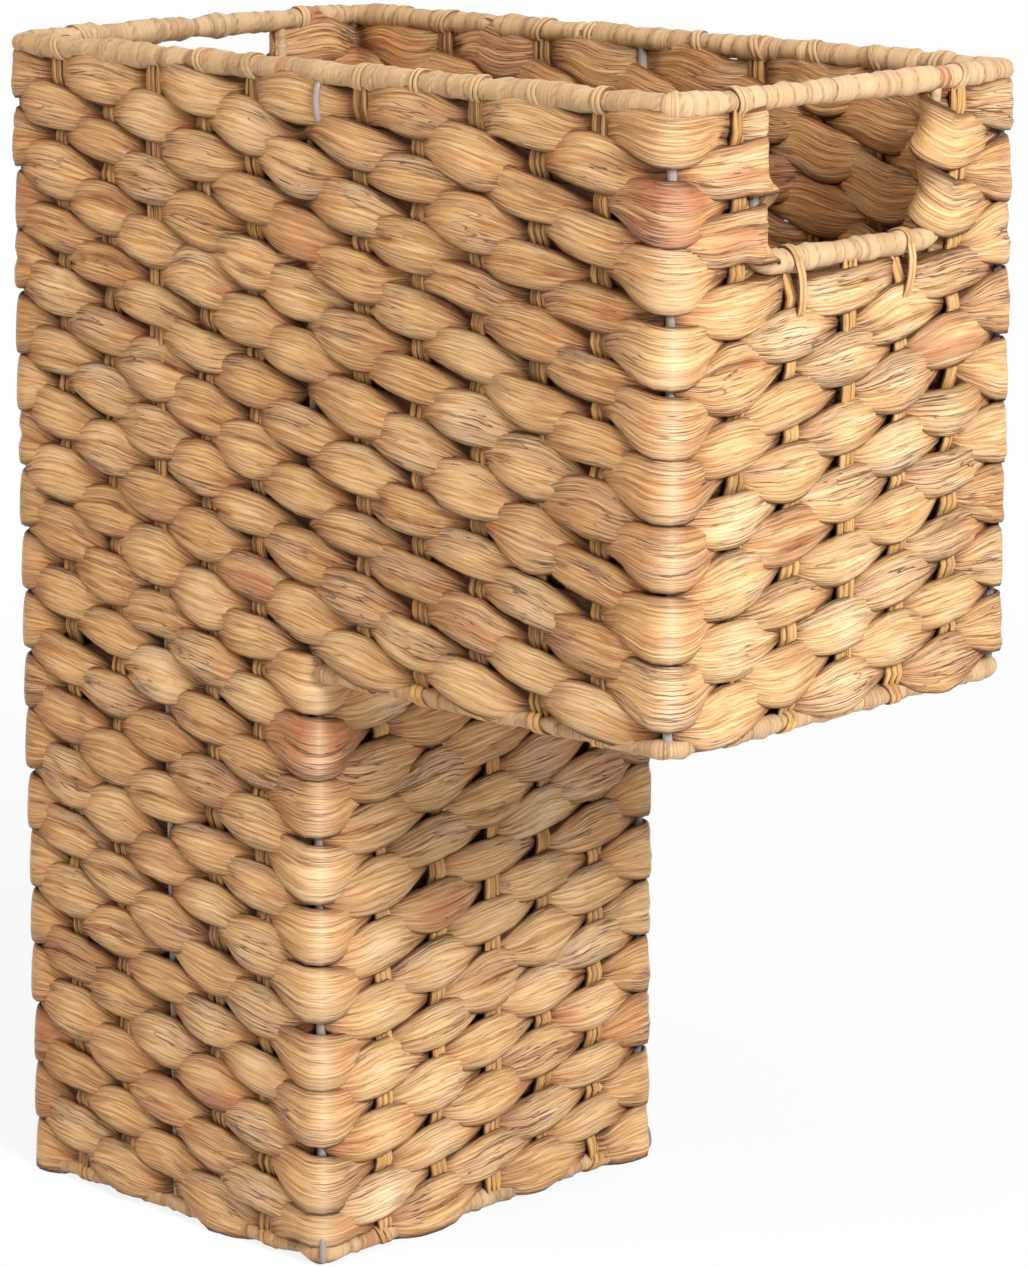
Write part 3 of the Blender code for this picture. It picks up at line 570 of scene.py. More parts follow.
# Share of the lobes with a lengthways crease, and with a reddish patch
CREASED, PATCHED = 0.32, 0.04
# Least height of a lobe along a rim, and greatest height of a lobe's inner face
RIM_LOBE_HEIGHT, INNER_LOBE_HEIGHT = 0.0125, 0.0205
# The roundness of a weft strand's section, across and through
SECTION = {"square": 0.74, "flat": 0.42}
RIDGES = 0.08


def lobe_depth(across):
    """How far out a lobe's face stands, from -1 at its start to 1 at its tip: steep, then a long fall."""
    walked = (across + 1) / 2
    rise = np.sqrt(np.clip((walked - 0.01) / LOBE_RISE, 0, 1))
    return rise * (1 - LOBE_SAG * walked ** 1.4) * np.sqrt(np.clip((1 - walked) / LOBE_FALL, 0, 1))


def lobe_slope(across):
    """The fall of a lobe's middle from its start to its tip, as shares from -1 to 1, with a quick return."""
    fallen = np.clip(across / SLOPE_SHARE, -1, 1)
    returned = np.clip((1 - np.abs(across)) / (1 - SLOPE_SHARE), 0, 1)
    return 1.5 * np.where(np.abs(across) < SLOPE_SHARE, fallen - fallen ** 3 / 3,
                          np.sign(across) * (returned - returned ** 3 / 3))


def lobe_height(across, sizes):
    """A lobe's height, largest in its middle and drawn to a point at both ends."""
    power = np.where(across < 0, sizes.start_power, sizes.tip_power)
    leaf = np.maximum(np.cos(math.pi / 2 * across), 0.03) ** power
    round_start = np.sqrt(np.clip(((across + 1) / 2 - 0.005) / 0.07, 0.05, 1))
    return sizes.strand_height * leaf * round_start


def lobe_chances(ring, row, rng):
    """What differs by chance from lobe to lobe of a row: one value for each bay."""
    size = ring.bays
    lift = rng.normal(0, 0.0009, size)
    big = np.maximum(rng.normal(1.0, 0.13, size), 0.84)
    at_corner = np.rint(ring.bay_at(ring.corners[:-1])).astype(int) % size
    big[at_corner] = rng.normal(1.24, 0.05, len(at_corner))
    lift[at_corner] = rng.normal(0, 0.0008, len(at_corner))
    slack = rng.normal(1.0, 0.07, size)
    slope = rng.normal(1.0, 0.24, size)
    tones = rng.normal(0.5, 0.17, size)
    tones[at_corner] -= 0.28
    puff = rng.normal(1.0, 0.06, size)
    folds = np.where(rng.uniform(0, 1, size) < CREASED, rng.uniform(0.0006, 0.0015, size), 0.0)
    fold_places = rng.uniform(-0.45, 0.45, size)
    patches = np.where(rng.uniform(0, 1, size) < PATCHED, rng.uniform(0.3, 0.7, size), 0.0)
    if row == 0:
        # at the front left corner the lowest strand stands small, clear of the rim's bend
        big *= 1.15
        big[ring.side_bays], lift[ring.side_bays] = 0.62, 0.004
    for (reddish_row, reddish_bay), strength in REDDISH_LOBES.items():
        if reddish_row == row:
            patches[reddish_bay] = strength
    return lift, big, slack, slope, tones, puff, folds, fold_places, patches


def weft_shape(ring, row, bay, sizes, rng, by_rim=False):
    """Centre, height and tone of one weft row at each place, counted in bays."""
    lift, big, slack, slope, tones, puff, folds, fold_places, patches = lobe_chances(ring, row, rng)
    run = ring.run_at(bay)
    spot, normal = ring.place(run)
    phase = bay + sizes.lead + row
    wave = np.cos(math.pi * phase)
    across_outer, across_inner = np.mod(phase + 1, 2) - 1, np.mod(phase, 2) - 1
    outer, inner = lobe_depth(across_outer), lobe_depth(across_inner)
    on_side = ring.on_side(bay)
    swing = sizes.strand_reach / 2 * (outer - inner) * eased(slack, bay)
    thick = (sizes.strand_reach * (outer + inner) - 2 * sizes.strand_tuck) * eased(puff, bay)
    # towards the back the side's lobes lie flatter
    slanted = sizes.side_slant * np.clip(0.84 + 1.4 * spot[:, 0], 0.6, 1.0)
    slant = (slanted * on_side - sizes.end_rise * (1 - on_side)) * eased(slope, bay)
    drop = -slant * lobe_slope(np.mod(bay + row + 1, 2) - 1)
    if by_rim:
        large = eased(np.minimum(big, 1.08) if row else big, bay) * 0.94
    else:
        large = eased(big, bay)
    heights, inner_heights = (lobe_height(across, sizes) * large for across in (across_outer, across_inner))
    if by_rim:
        heights, inner_heights = (np.maximum(h, RIM_LOBE_HEIGHT) for h in (heights, inner_heights))
    inner_heights = np.minimum(inner_heights * 1.14 + 0.0008, INNER_LOBE_HEIGHT)
    corner = np.min(np.abs(np.mod(run, ring.length)[:, None] - ring.corners[None, :]), axis=1)
    rise = eased(lift, bay) + drop - sizes.corner_droop * np.exp(-(corner / 0.007) ** 2) * (wave > 0)
    # painted shade at both tips of each lobe
    pinch_shade, inner_pinch_shade = (0.95 * np.exp(-((1 - np.abs(u)) / 0.24) ** 2) for u in (across_outer, across_inner))
    return {"run": run, "offset": spot + normal * swing[:, None], "rise": rise, "thick": thick,
            "heights": heights, "inner_heights": inner_heights, "pinch_shade": pinch_shade, "inner_pinch_shade": inner_pinch_shade,
            "tilt": 0.06 * wave,
            # darker on the long sides; the lobes of the inner face darker still, as painted shade inside the
            # basket
            "tone": eased(tones, bay) + 0.05 - 0.13 * on_side - 0.26 * inner,
            "patch": np.maximum(eased(patches, bay), 0.45 * inner ** 4),
            # painted highlight: a pale streak on the outer lobes where the strand rounds a corner wire
            "wear_and_highlight": 0.55 * np.exp(-(corner / 0.0018) ** 2) * (wave > 0),
            "crease_depth": eased(folds, bay), "crease_place": eased(fold_places, bay)}


def lay_weft(bm, centres, shape, start, closed, around, ridges):
    main = (shape[key] for key in ("heights", "thick", "tone", "patch", "wear_and_highlight"))
    lay_strand(bm, centres, *main, start, closed, around, shape["tilt"], shape["pinch_shade"], ridges=ridges,
               crease=(shape["crease_depth"], shape["crease_place"]),
               inner_face=(shape["inner_heights"], shape["inner_pinch_shade"]), **SECTION)


def round_row(bm, ring, row, height, sizes, rng, steps, around, by_rim):
    """One weft row that goes all the way round."""
    bay = np.arange(ring.bays * steps + 1) / steps
    shape = weft_shape(ring, row, bay, sizes, rng, by_rim)
    centres = np.column_stack([shape["offset"], height + shape["rise"]])
    centres[-1] = centres[0]
    for key in ("heights", "inner_heights", "thick", "tilt"):
        shape[key][-1] = shape[key][0]
    fade = np.minimum(1, np.minimum(bay, ring.bays - bay) * 2)[:, None]
    ridges = ridge_pattern(rng, shape["run"], around, RIDGES) * fade
    lay_weft(bm, centres, shape, row * 1.7, True, around, ridges)


def handle_snake(bm, ring, side, rows, heights, sizes, rng, steps, around):
    """The rows beside the handles: one strand that turns round a post at the end of each row."""
    if side == "left":
        start_run, end_run = ring.back_posts[1] - ring.length, ring.front_posts[0]
    else:
        start_run, end_run = ring.front_posts[1], ring.back_posts[0]
    low, high = ring.bay_at(np.array([start_run, end_run]))
    bay = np.linspace(low, high, int((high - low) * steps) + 1)
    fan = {"thick": sizes.fan_depth, "pinch_shade": 0.0, "inner_pinch_shade": 0.0, "tilt": 0.0}
    centres, stores = [], {}
    for number, (row, height) in enumerate(zip(rows, heights)):
        forward, last = number % 2 == 0, number == len(rows) - 1
        shape = weft_shape(ring, row, bay, sizes, rng, last)
        run, flat = shape.pop("run"), shape.pop("offset")
        spot, normal = ring.place(run)
        # near a post the strand keeps the side it has at the last warp, and spreads into a fan
        nears = [np.clip(1 - off / sizes.fan_reach, 0, 1) for off in (run - start_run, end_run - run)]
        nears = [near * near * (3 - 2 * near) for near in nears]
        low_way, high_way = (math.cos(math.pi * (warp + row)) for warp in (math.ceil(low), math.floor(high)))
        if last:
            low_way, high_way = (low_way, 1.0) if forward else (1.0, high_way)
        for near, way in zip(nears, (low_way, high_way)):
            held = spot + normal * (sizes.turn_radius * way)
            flat = flat * (1 - near[:, None]) + held * near[:, None]
        at_post = nears[0] + nears[1]
        points = np.column_stack([flat, height + shape.pop("rise") * (1 - at_post)])
        fan["heights"] = fan["inner_heights"] = sizes.last_fan_height if last else sizes.fan_height
        for key, value in fan.items():
            shape[key] = shape[key] * (1 - at_post) + value * at_post
        if not forward:
            # laid from its far end, a strand has its outer face on the other side
            points = points[::-1]
            shape = {key: values[::-1] for key, values in shape.items()}
            shape["tilt"] = -shape["tilt"]
            for key in ("heights", "pinch_shade"):
                shape[key], shape[f"inner_{key}"] = shape[f"inner_{key}"], shape[key]
        post, normal = (found[0] for found in ring.place(np.array([end_run if forward else start_run])))
        ahead = np.array((-normal[1], normal[0])) * (1 if forward else -1)
        outer = high_way if forward else low_way
        arc = np.linspace(0, math.pi * (0.7 if last else 1.0), 14)[1:-1]
        out_by, along_by = np.cos(arc)[:, None] * outer, np.sin(arc)[:, None]
        turned = post + sizes.turn_radius * (along_by * ahead + out_by * normal)
        climbed = arc / math.pi
        if side == "left":
            # here the strand changes its height on the inside of the post only
            climbed = np.clip(climbed * 2 - (outer > 0), 0, 1)
        lift = height + (heights[min(number + 1, len(rows) - 1)] - height) * climbed
        centres += [points, np.column_stack([turned, lift])]
        for key, values in shape.items():
            stores.setdefault(key, []).extend((values, np.full(len(arc), values[-1])))
    centres = np.vstack(centres)
    walked = walked_along(centres)
    run = np.linspace(0, walked[-1], int(walked[-1] / detail(0.0018)))
    centres = softened_path(read_along(run, walked, centres))
    shape = {key: softened(np.interp(run, walked, np.concatenate(values))) for key, values in stores.items()}
    lay_weft(bm, centres, shape, 90.0 + (side == "right") * 11, False, around,
             ridge_pattern(rng, run, around, RIDGES))


class BASKET_OT_weave_walls(bpy.types.Operator):
    """Weave the weft rows round the corner wires, side wires and warps"""
    bl_idname = "basket.weave_walls"
    bl_label = "Weave the walls"

    def execute(self, context):
        sizes = context.scene.basket_weave
        steps, around = detail(12), detail(28)
        long_side = LOWER_SIDE_WARPS + [STEP_CORNER_X] + OVERHANG_SIDE_WARPS
        upper = WallRing(FRONT_WARP_X, long_side, sizes.corner_bend)
        lower = WallRing(STEP_WARP_X, LOWER_SIDE_WARPS, sizes.corner_bend)
        levels = row_heights(sizes)
        total, below = len(levels), sizes.lower_rows
        whole = total - sizes.handle_rows
        groups = (
            ("lower_weave_bottom", range(0, below // 2), lower, ("lower_front_wall",)),
            ("lower_weave_top", range(below // 2, below), lower, ("left_wall_lower", "right_wall_lower")),
            ("upper_weave_bottom", range(below, below + 6), upper, ("overhang_front_wall",)),
            ("upper_weave_middle", range(below + 6, whole), upper, ("back_wall",)),
            ("upper_weave_top", range(0), upper, ("left_wall_upper", "right_wall_upper")))
        for name, rows, ring, nodes in groups:
            bm = bmesh.new()
            for row in rows:
                rng = np.random.default_rng(1000 + row)
                round_row(bm, ring, row, levels[row], sizes, rng, steps, around, row in (0, whole - 1))
            if not rows:
                for side, _ in SIDES:
                    rng = np.random.default_rng(3000 + (side == "right"))
                    handle_snake(bm, upper, side, range(whole, total), levels[whole:], sizes, rng, steps,
                                 around)
            add_piece(name, bm, "woven hyacinth", "woven_hyacinth", *nodes)
        return {"FINISHED"}


# Floors

def lay_floor_weave(bm, back_x, front_x, level, rng):
    """Flat strands both ways, over and under each other, out to the rims."""
    width, thickness, swing, pitch = 0.0115, 0.0026, 0.0014, 0.0119
    steps, around = detail(6), detail(14)
    along_x, along_y = int((front_x - back_x) / pitch), int(2 * SIDE_WARP_Y / pitch)
    xs = np.linspace(back_x, front_x, along_x * 2 + 1)[1::2]
    ys = np.linspace(-SIDE_WARP_Y, SIDE_WARP_Y, along_y * 2 + 1)[1::2]
    for ways, others, low, high, first in ((ys, xs, back_x, front_x, 0),
                                           (xs, ys, -SIDE_WARP_Y, SIDE_WARP_Y, 1)):
        spacing = others[1] - others[0]
        for number, place in enumerate(ways):
            run = np.linspace(low, high, len(others) * steps + 1)
            phase = (run - others[0]) / spacing
            height = level + swing * np.cos(math.pi * (phase + number + first))
            wander = place + 0.0005 * np.sin(run * 70 + rng.uniform(0, 6))
            centres = np.column_stack([wander, run, height] if first else [run, wander, height])
            upright = (-1.0, 0.0, 0.0) if first else (0.0, 1.0, 0.0)
            tone = rng.normal(0.42, 0.12)
            lay_strand(bm, centres, width * rng.normal(1, 0.05), thickness, tone, 0.0, 0.0,
                       20 + number * 1.3 + first * 30, False, around, upright=upright,
                       ridges=ridge_pattern(rng, run - low, around, 0.10))


class BASKET_OT_weave_floors(bpy.types.Operator):
    """Weave the base's floor and the overhang's floor"""
    bl_idname = "basket.weave_floors"
    bl_label = "Weave the floors"

    def execute(self, context):
        rng = np.random.default_rng(41)
        floors = (("base_floor", BACK_WARP_X, STEP_WARP_X, BASE_RIM_Z + 0.0012),
                  ("overhang_floor", STEP_WARP_X, FRONT_WARP_X, STEP_RIM_Z + 0.0006))
        for node, back_x, front_x, level in floors:
            bm = bmesh.new()
            lay_floor_weave(bm, back_x, front_x, level, rng)
            add_piece(f"{node}_weave", bm, "woven hyacinth", "woven_hyacinth", node)
        return {"FINISHED"}


# Bound rims and handles

def fine_path(corners, bend, spacing, closed):
    """Points along straight runs with rounded corners, evenly spaced."""
    corners = [np.array(c, dtype=float) for c in corners]
    rough = []
    count = len(corners)
    for index, corner in enumerate(corners):
        if not closed and index in (0, count - 1):
            rough.append(corner)
            continue
        before = unit(corners[index - 1] - corner)
        after = unit(corners[(index + 1) % count] - corner)
        centre = corner + (before + after) * bend
        for turn in np.linspace(0, math.pi / 2, 9):
            rough.append(centre - after * bend * math.cos(turn) - before * bend * math.sin(turn))
    if closed:
        rough.append(rough[0])
    rough = np.array(rough)
    run = walked_along(rough)
    even = np.linspace(0, run[-1], max(4, int(run[-1] / spacing)) + 1)
    return read_along(even, run, rough), run[-1]


# Length of strip in one turn, for the fibres along it
TURN_LENGTH = 2 * math.pi * 0.0044


def lay_binding(bm, corners, bend, radius, width, step, rng, closed, tones, start, patches):
    """A strip wound round a rim, each turn a little over the last one's edge.

    tones is the turns' mean tone and its spread, and patches the share of reddish turns.
    """
    path, long = fine_path(corners, bend, 0.0006, closed)
    run = np.linspace(0, long, len(path))
    turns = max(2, int(round(long / width)))
    widths = rng.uniform(0.5, 1.55, turns)
    widths = np.concatenate([widths, widths[:1] if closed else widths[-1:]])
    edges = np.concatenate([[0], np.cumsum(widths)])
    edges *= long / edges[turns]
    steps, around = detail(7), detail(20)
    i = np.arange(turns * steps + 1)[:, None]
    j = np.arange(around + 1)[None, :]
    count = i / steps + j / around
    along = np.interp(count, np.arange(turns + 2), edges)
    turn = np.floor(count + 1e-9).astype(int)
    share = count - turn
    angle = 2 * math.pi * j / around + rng.uniform(0, 6) + 0 * i
    spot = np.mod(along, long) if closed else np.clip(along, 0, long)
    centres = read_along(spot, run, path)
    ahead = unit(read_along(spot, run, tangents(path, closed)))
    level = np.ptp(path[:, 2]) <= 0.02
    plane = np.array(UPRIGHT if level else (math.copysign(1.0, corners[0][0]), 0.0, 0.0))
    side = unit(np.cross(ahead, np.broadcast_to(plane, ahead.shape)))
    rise = np.cross(side, ahead)
    swell = rng.normal(0, 0.00032, turns)
    reach = (radius(spot / long) if callable(radius) else radius) + (share - 0.5) * step + eased(swell, count)
    reach = reach * (1 + 0.04 * np.cos(2 * angle + count * 1.3) + 0.03 * np.cos(3 * angle - count * 2.9))
    if not closed:
        # both ends close to a point
        ends = np.broadcast_to((i == 0) | (i == turns * steps), count.shape)
        reach = np.where(ends, 0.0, reach)
        tips = read_along(np.where(i == 0, 0.0, long) + 0 * j, run, path)
        centres = np.where(ends[..., None], tips, centres)
    points = centres + reach[..., None] * (np.cos(angle)[..., None] * side + np.sin(angle)[..., None] * rise)
    if closed:
        points[-1] = points[0]
    points[..., 2] = np.maximum(points[..., 2], 0.0)
    places = np.stack([count * TURN_LENGTH + start, along + start], axis=-1)
    turn_tones = rng.normal(tones[0], tones[1], turns + 2)
    turn_patches = np.where(rng.uniform(0, 1, turns + 2) < patches, rng.uniform(0.4, 1.0, turns + 2), 0.0)
    # painted shade: each turn darker at its edges, where it meets the next turn, in its tone and in the
    # fourth channel, which also holds the painted shadow at the floor
    edge = np.exp(-(np.minimum(share, 1 - share) / 0.07) ** 2)
    shades = np.ones(points.shape[:2] + (4,))
    shades[..., 0] = np.clip(turn_tones[np.clip(turn, 0, turns + 1)] - edge * 0.30, 0, 1)
    shades[..., 1] = turn_patches[np.clip(turn, 0, turns + 1)]
    shades[..., 2] = 0.0
    shades[..., 3] = np.maximum(edge * 0.5, painted_floor_shadow(points))
    lay_grid(bm, points, places, shades)


def ring_corners(back_x, front_x, level):
    y = SIDE_WARP_Y
    return [(back_x, -y, level), (front_x, -y, level), (front_x, y, level), (back_x, y, level)]


class BASKET_OT_bind_rims(bpy.types.Operator):
    """Wind the strips round the top rim, the base rim and the overhang's rim"""
    bl_idname = "basket.bind_rims"
    bl_label = "Bind the rims"

    def execute(self, context):
        sizes = context.scene.basket_binding
        thick, thin = sizes.rim_radius, sizes.low_rim_radius
        rims = (("top_rim", (BACK_WARP_X, FRONT_WARP_X, TOP_RIM_Z), thick, True, (0.46, 0.24), 0.03),
                ("base_rim", (BACK_WARP_X, STEP_WARP_X, BASE_RIM_Z), thin, True, (0.12, 0.15), 0.12),
                ("step_rim", (STEP_WARP_X, FRONT_WARP_X, STEP_RIM_Z), thin, False, (0.16, 0.15), 0.06))
        for number, (rim, extent, radius, closed, tones, patches) in enumerate(rims):
            rng = np.random.default_rng(500 + number)
            bm = bmesh.new()
            lay_binding(bm, ring_corners(*extent), sizes.rim_bend, radius, sizes.strip_width,
                        sizes.strip_step, rng, closed, tones, number * 3.1, patches)
            add_piece(f"{rim}_wrap", bm, "binding strip", "binding_strip", f"{rim}_binding")
        return {"FINISHED"}


class BASKET_OT_bind_handles(bpy.types.Operator):
    """Wind the strips round the two handle bars and their posts"""
    bl_idname = "basket.bind_handles"
    bl_label = "Bind the handles"

    def execute(self, context):
        sizes = context.scene.basket_binding
        for number, (end, x) in enumerate((("back", BACK_WARP_X), ("front", FRONT_WARP_X))):
            y, top, bar = HANDLE_POST_Y, TOP_RIM_Z - 0.002, HANDLE_BAR_Z
            corners = [(x, -y, top), (x, -y, bar), (x, y, bar), (x, y, top)]
            post = (top - bar - 0.014) / (2 * (top - bar) + 2 * y)

            def reach(share, post=post):
                on_bar = np.clip((np.minimum(share, 1 - share) - post) / 0.02, 0, 1)
                return sizes.post_radius + (sizes.handle_radius - sizes.post_radius) * on_bar

            rng = np.random.default_rng(560 + number)
            bm = bmesh.new()
            lay_binding(bm, corners, sizes.handle_bend, reach, sizes.strip_width * 0.9, sizes.strip_step, rng,
                        False, (0.75, 0.12), 40 + number * 3, 0.0)
            add_piece(f"{end}_handle_wrap", bm, "binding strip", "binding_strip", f"{end}_handle_binding")
        return {"FINISHED"}


# Warps

def tie_loop(bm, centre, face, direction, radius, width, rng, wear_and_highlight, start, drop):
    """A flat loop of twine over a rim, its outer leg drawn down by drop."""
    turns = np.linspace(0, 2 * math.pi, 29)
    out, rise = np.cos(turns) * radius, np.sin(turns) * radius
    along = rng.uniform(-0.0022, 0.0022) * np.sin(turns + 0.6)
    if drop:
        below = np.clip(-np.sin(turns), 0, 1)
        rise = rise - drop * below
        out = np.where(out > 0, out + 0.0026 * below ** 0.5, out * (1 - np.clip(below * 3, 0, 1)))
    for shift in (-0.27, 0.27):
        side = (along + shift * width)[:, None] * direction
        centres = np.array(centre) + out[:, None] * face + rise[:, None] * np.array(UPRIGHT) + side
        centres[-1] = centres[0]
        centres[:, 2] = np.maximum(centres[:, 2], 0.0005)
        lay_strand(bm, centres, width * rng.uniform(0.48, 0.62), 0.0010, rng.uniform(0.45, 0.75), 0.0, wear_and_highlight,
                   start, True, detail(10), upright=tuple(direction), square=0.7)


def lay_warp(bm, place, normal, low, high, sizes, rng, row_levels, row_outside, loops):
    """Three parallel strands up the wall, with their loops round the rims."""
    direction = np.array((-normal[1], normal[0], 0.0))
    face = np.array((normal[0], normal[1], 0.0))
    spacing = detail(0.0022)
    level = np.linspace(low, high, max(8, int((high - low) / spacing)))
    swing = np.interp(level, row_levels, row_outside) * sizes.swing
    # the warps on the long sides are darker: painted shade, as they lie in shade between the lobes
    tone = max(rng.normal(0.5 if normal[0] else -0.05, 0.15), 0.1 if normal[0] else 0.0)
    sway = rng.uniform(0, 6)
    for shift in (-1.0, 0.0, 1.0):
        lag = rng.uniform(0, 6)
        turn = 0.5 * np.sin(level * 38 + sway)
        side = shift * sizes.spread * np.cos(turn) + 0.0003 * np.sin(level * 90 + lag)
        depth = swing + shift * sizes.spread * 0.35 * np.sin(turn) + 0.0002 * np.sin(level * 120 + lag)
        centres = np.array(place) + side[:, None] * direction + depth[:, None] * face
        centres = np.column_stack([centres[:, :2], level])
        lay_strand(bm, centres, sizes.strand_width, sizes.strand_depth, tone + rng.normal(0, 0.1), 0.0, 0.0,
                   60 + rng.uniform(0, 9), False, detail(10), upright=tuple(direction))
    for centre, radius, drop, width, wear_and_highlight in loops:
        tie_loop(bm, centre, face, direction, radius, width, rng, wear_and_highlight, 70 + rng.uniform(0, 9), drop)


class BASKET_OT_lay_warps(bpy.types.Operator):
    """Lay the warps' parallel strands and tie them round the rims and handle bars"""
    bl_idname = "basket.lay_warps"
    bl_label = "Lay the warps"

    def execute(self, context):
        sizes = context.scene.basket_twine
        binding = context.scene.basket_binding
        rim, low_rim = binding.rim_radius + 0.0002, binding.low_rim_radius + 0.0001
        bar = binding.handle_radius + 0.0005
        rows = np.arange(len(row_heights(context.scene.basket_weave)))
        for index, (name, place, normal, station, low, high) in enumerate(self.over_wires()):
            rng = np.random.default_rng(900 + index)
            outside = np.maximum(-np.cos(math.pi * (station + rows)), -0.2) * 0.3 + 0.85
            self.lay(context, name, place, normal, low, high, rng, outside, [])
        for index, (name, place, normal, station, low, high) in enumerate(self.twines()):
            rng = np.random.default_rng(700 + index)
            outside = -np.cos(math.pi * (station + rows))
            foot, head = (*place[:2], low), (*place[:2], high)
            loops = [(foot, low_rim, 0.0, sizes.spread * 2.0, 0.0)]
            if high == HANDLE_BAR_Z:
                loops.append((head, bar, 0.013, sizes.loop_width, 0.45))
            elif high == TOP_RIM_Z:
                loops.append((head, rim, 0.0, sizes.loop_width * 1.1, 1.0))
            self.lay(context, name, place, normal, low, high, rng, outside, loops, name)
        return {"FINISHED"}

    def lay(self, context, name, place, normal, low, high, rng, outside, loops, *nodes):
        levels = row_heights(context.scene.basket_weave)
        bm = bmesh.new()
        lay_warp(bm, place, normal, low, high, context.scene.basket_twine, rng, levels, outside, loops)
        add_piece(f"{name}_strands", bm, "warp twine", "twine", *nodes)

    def twines(self):
        """Each warp's node, place, normal, number along its wall, lower end and upper end."""
        for side, sign in SIDES:
            for number in range(1, 10):
                name = f"side_twine_{side}_{number}"
                tall = number < 5
                station = (1, 2, 4, 5)[number - 1] if tall else number + 2
                yield (name, (middle(name)[0], sign * SIDE_WARP_Y, 0.0), (0, sign), station,
                       BASE_RIM_Z if tall else STEP_RIM_Z, TOP_RIM_Z)
        for end, x, sign, base, top in (("back", BACK_WARP_X, -1, BASE_RIM_Z, TOP_RIM_Z),
                                        ("lower_front", STEP_WARP_X, 1, BASE_RIM_Z, STEP_RIM_Z),
                                        ("overhang_front", FRONT_WARP_X, 1, STEP_RIM_Z, TOP_RIM_Z)):
            for number in range(1, 5):
                name = f"{end}_twine_{number}"
                y = middle(name)[1]
                station = 1 + END_WARPS.index(min(END_WARPS, key=lambda warp: abs(warp - y)))
                under_handle = end != "lower_front" and abs(y) < HANDLE_POST_Y
                yield name, (x, y, 0.0), (sign, 0), station, base, HANDLE_BAR_Z if under_handle else top

    def over_wires(self):
        """The same for the strands over the walls' middle wires."""
        yield "back_middle", (BACK_WARP_X, 0.0, 0.0), (-1, 0), 3, BASE_RIM_Z, HANDLE_BAR_Z
        yield "lower_front_middle", (STEP_WARP_X, 0.0, 0.0), (1, 0), 3, BASE_RIM_Z, STEP_RIM_Z
        yield "overhang_front_middle", (FRONT_WARP_X, 0.0, 0.0), (1, 0), 3, STEP_RIM_Z, HANDLE_BAR_Z
        for side, sign in SIDES:
            place = (middle("side_wire_left")[0], sign * SIDE_WARP_Y, 0.0)
            yield f"side_middle_{side}", place, (0, sign), 3, STEP_RIM_Z, TOP_RIM_Z


# Frame wire

class BASKET_OT_coat_wires(bpy.types.Operator):
    """Give the frame's wires their coating"""
    bl_idname = "basket.coat_wires"
    bl_label = "Coat the wires"

    def execute(self, context):
        coating = basket_material("coated wire")
        for name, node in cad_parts.items():
            if "wire" in name:
                for slot in node.material_slots:
                    slot.material = coating
        return {"FINISHED"}


HOOK_WIDTH = 0.0022


def wire_hook(name, start, out, levels):
    """A wire's end, bent out over the rim that it meets: places out from the start, and heights."""
    out = unit(np.array(out))
    bends = np.array([np.array(start) + out * reach + (0.0, 0.0, level) for reach, level in levels])
    even = np.linspace(0, len(bends) - 1, 8 * len(bends))
    centres = softened_path(read_along(even, range(len(bends)), bends), 3)
    bm = bmesh.new()
    lay_strand(bm, centres, HOOK_WIDTH, HOOK_WIDTH, 0.5, 0.0, 0.0, 0.0, False, detail(14), square=1.0,
               flat=1.0, upright=tuple(np.cross(out, UPRIGHT)))
    add_piece(name, bm, "coated wire", "coated_wire")


class BASKET_OT_hook_wires(bpy.types.Operator):
    """Bend the ends of the step's corner wires to the top rim and over the base rim"""
    bl_idname = "basket.hook_wires"
    bl_label = "Hook the wires"

    def execute(self, context):
        reach = context.scene.basket_binding.rim_radius + 0.0006
        over_top = [(out, TOP_RIM_Z - below) for out, below in (
            (-0.001, 0.018), (0.0038, 0.014), (0.0044, 0.008), (0.0038, 0.004), (0.0020, 0.0015), (0.0, 0.0))]
        over_base = [(0.0, 0.019), (reach * 0.3, 0.013), (reach * 0.9, 0.008), (reach, BASE_RIM_Z),
                     (reach * 0.8, 0.0016)]
        for side, sign in SIDES:
            x, y, _ = middle(f"step_corner_wire_{side}")
            wire_hook(f"top_hook_{side}", (x + 0.008, sign * SIDE_WARP_Y, 0.0), (0.0, sign, 0.0), over_top)
            wire_hook(f"base_hook_{side}", (x, y, 0.0), (1.0, sign, 0.0), over_base)
        return {"FINISHED"}


# Studio

# Each lamp's name, place, width, power and colour
DAYLIGHT, WARM_LIGHT = (0.95, 1.0, 1.10), (1.0, 0.77, 0.52)
LAMPS = (("key", (1.6, -0.4, 1.15), 0.7, 49.0, DAYLIGHT), ("fill", (-0.8, -1.7, 1.2), 0.8, 12.3, WARM_LIGHT),
         ("top", (0.1, -0.4, 1.8), 0.7, 8.0, DAYLIGHT), ("back", (-0.7, 1.5, 1.1), 1.0, 5.0, DAYLIGHT))
# Strength of the light from all round
AMBIENT = 0.22
# The camera's turn round the basket and its height, in degrees, then its place along its own axes, in metres
CAMERA_ANGLES, CAMERA_PLACE, CAMERA_LENS = (44.05, 12.72), (0.00566, 0.1983, 1.5472), 127.8


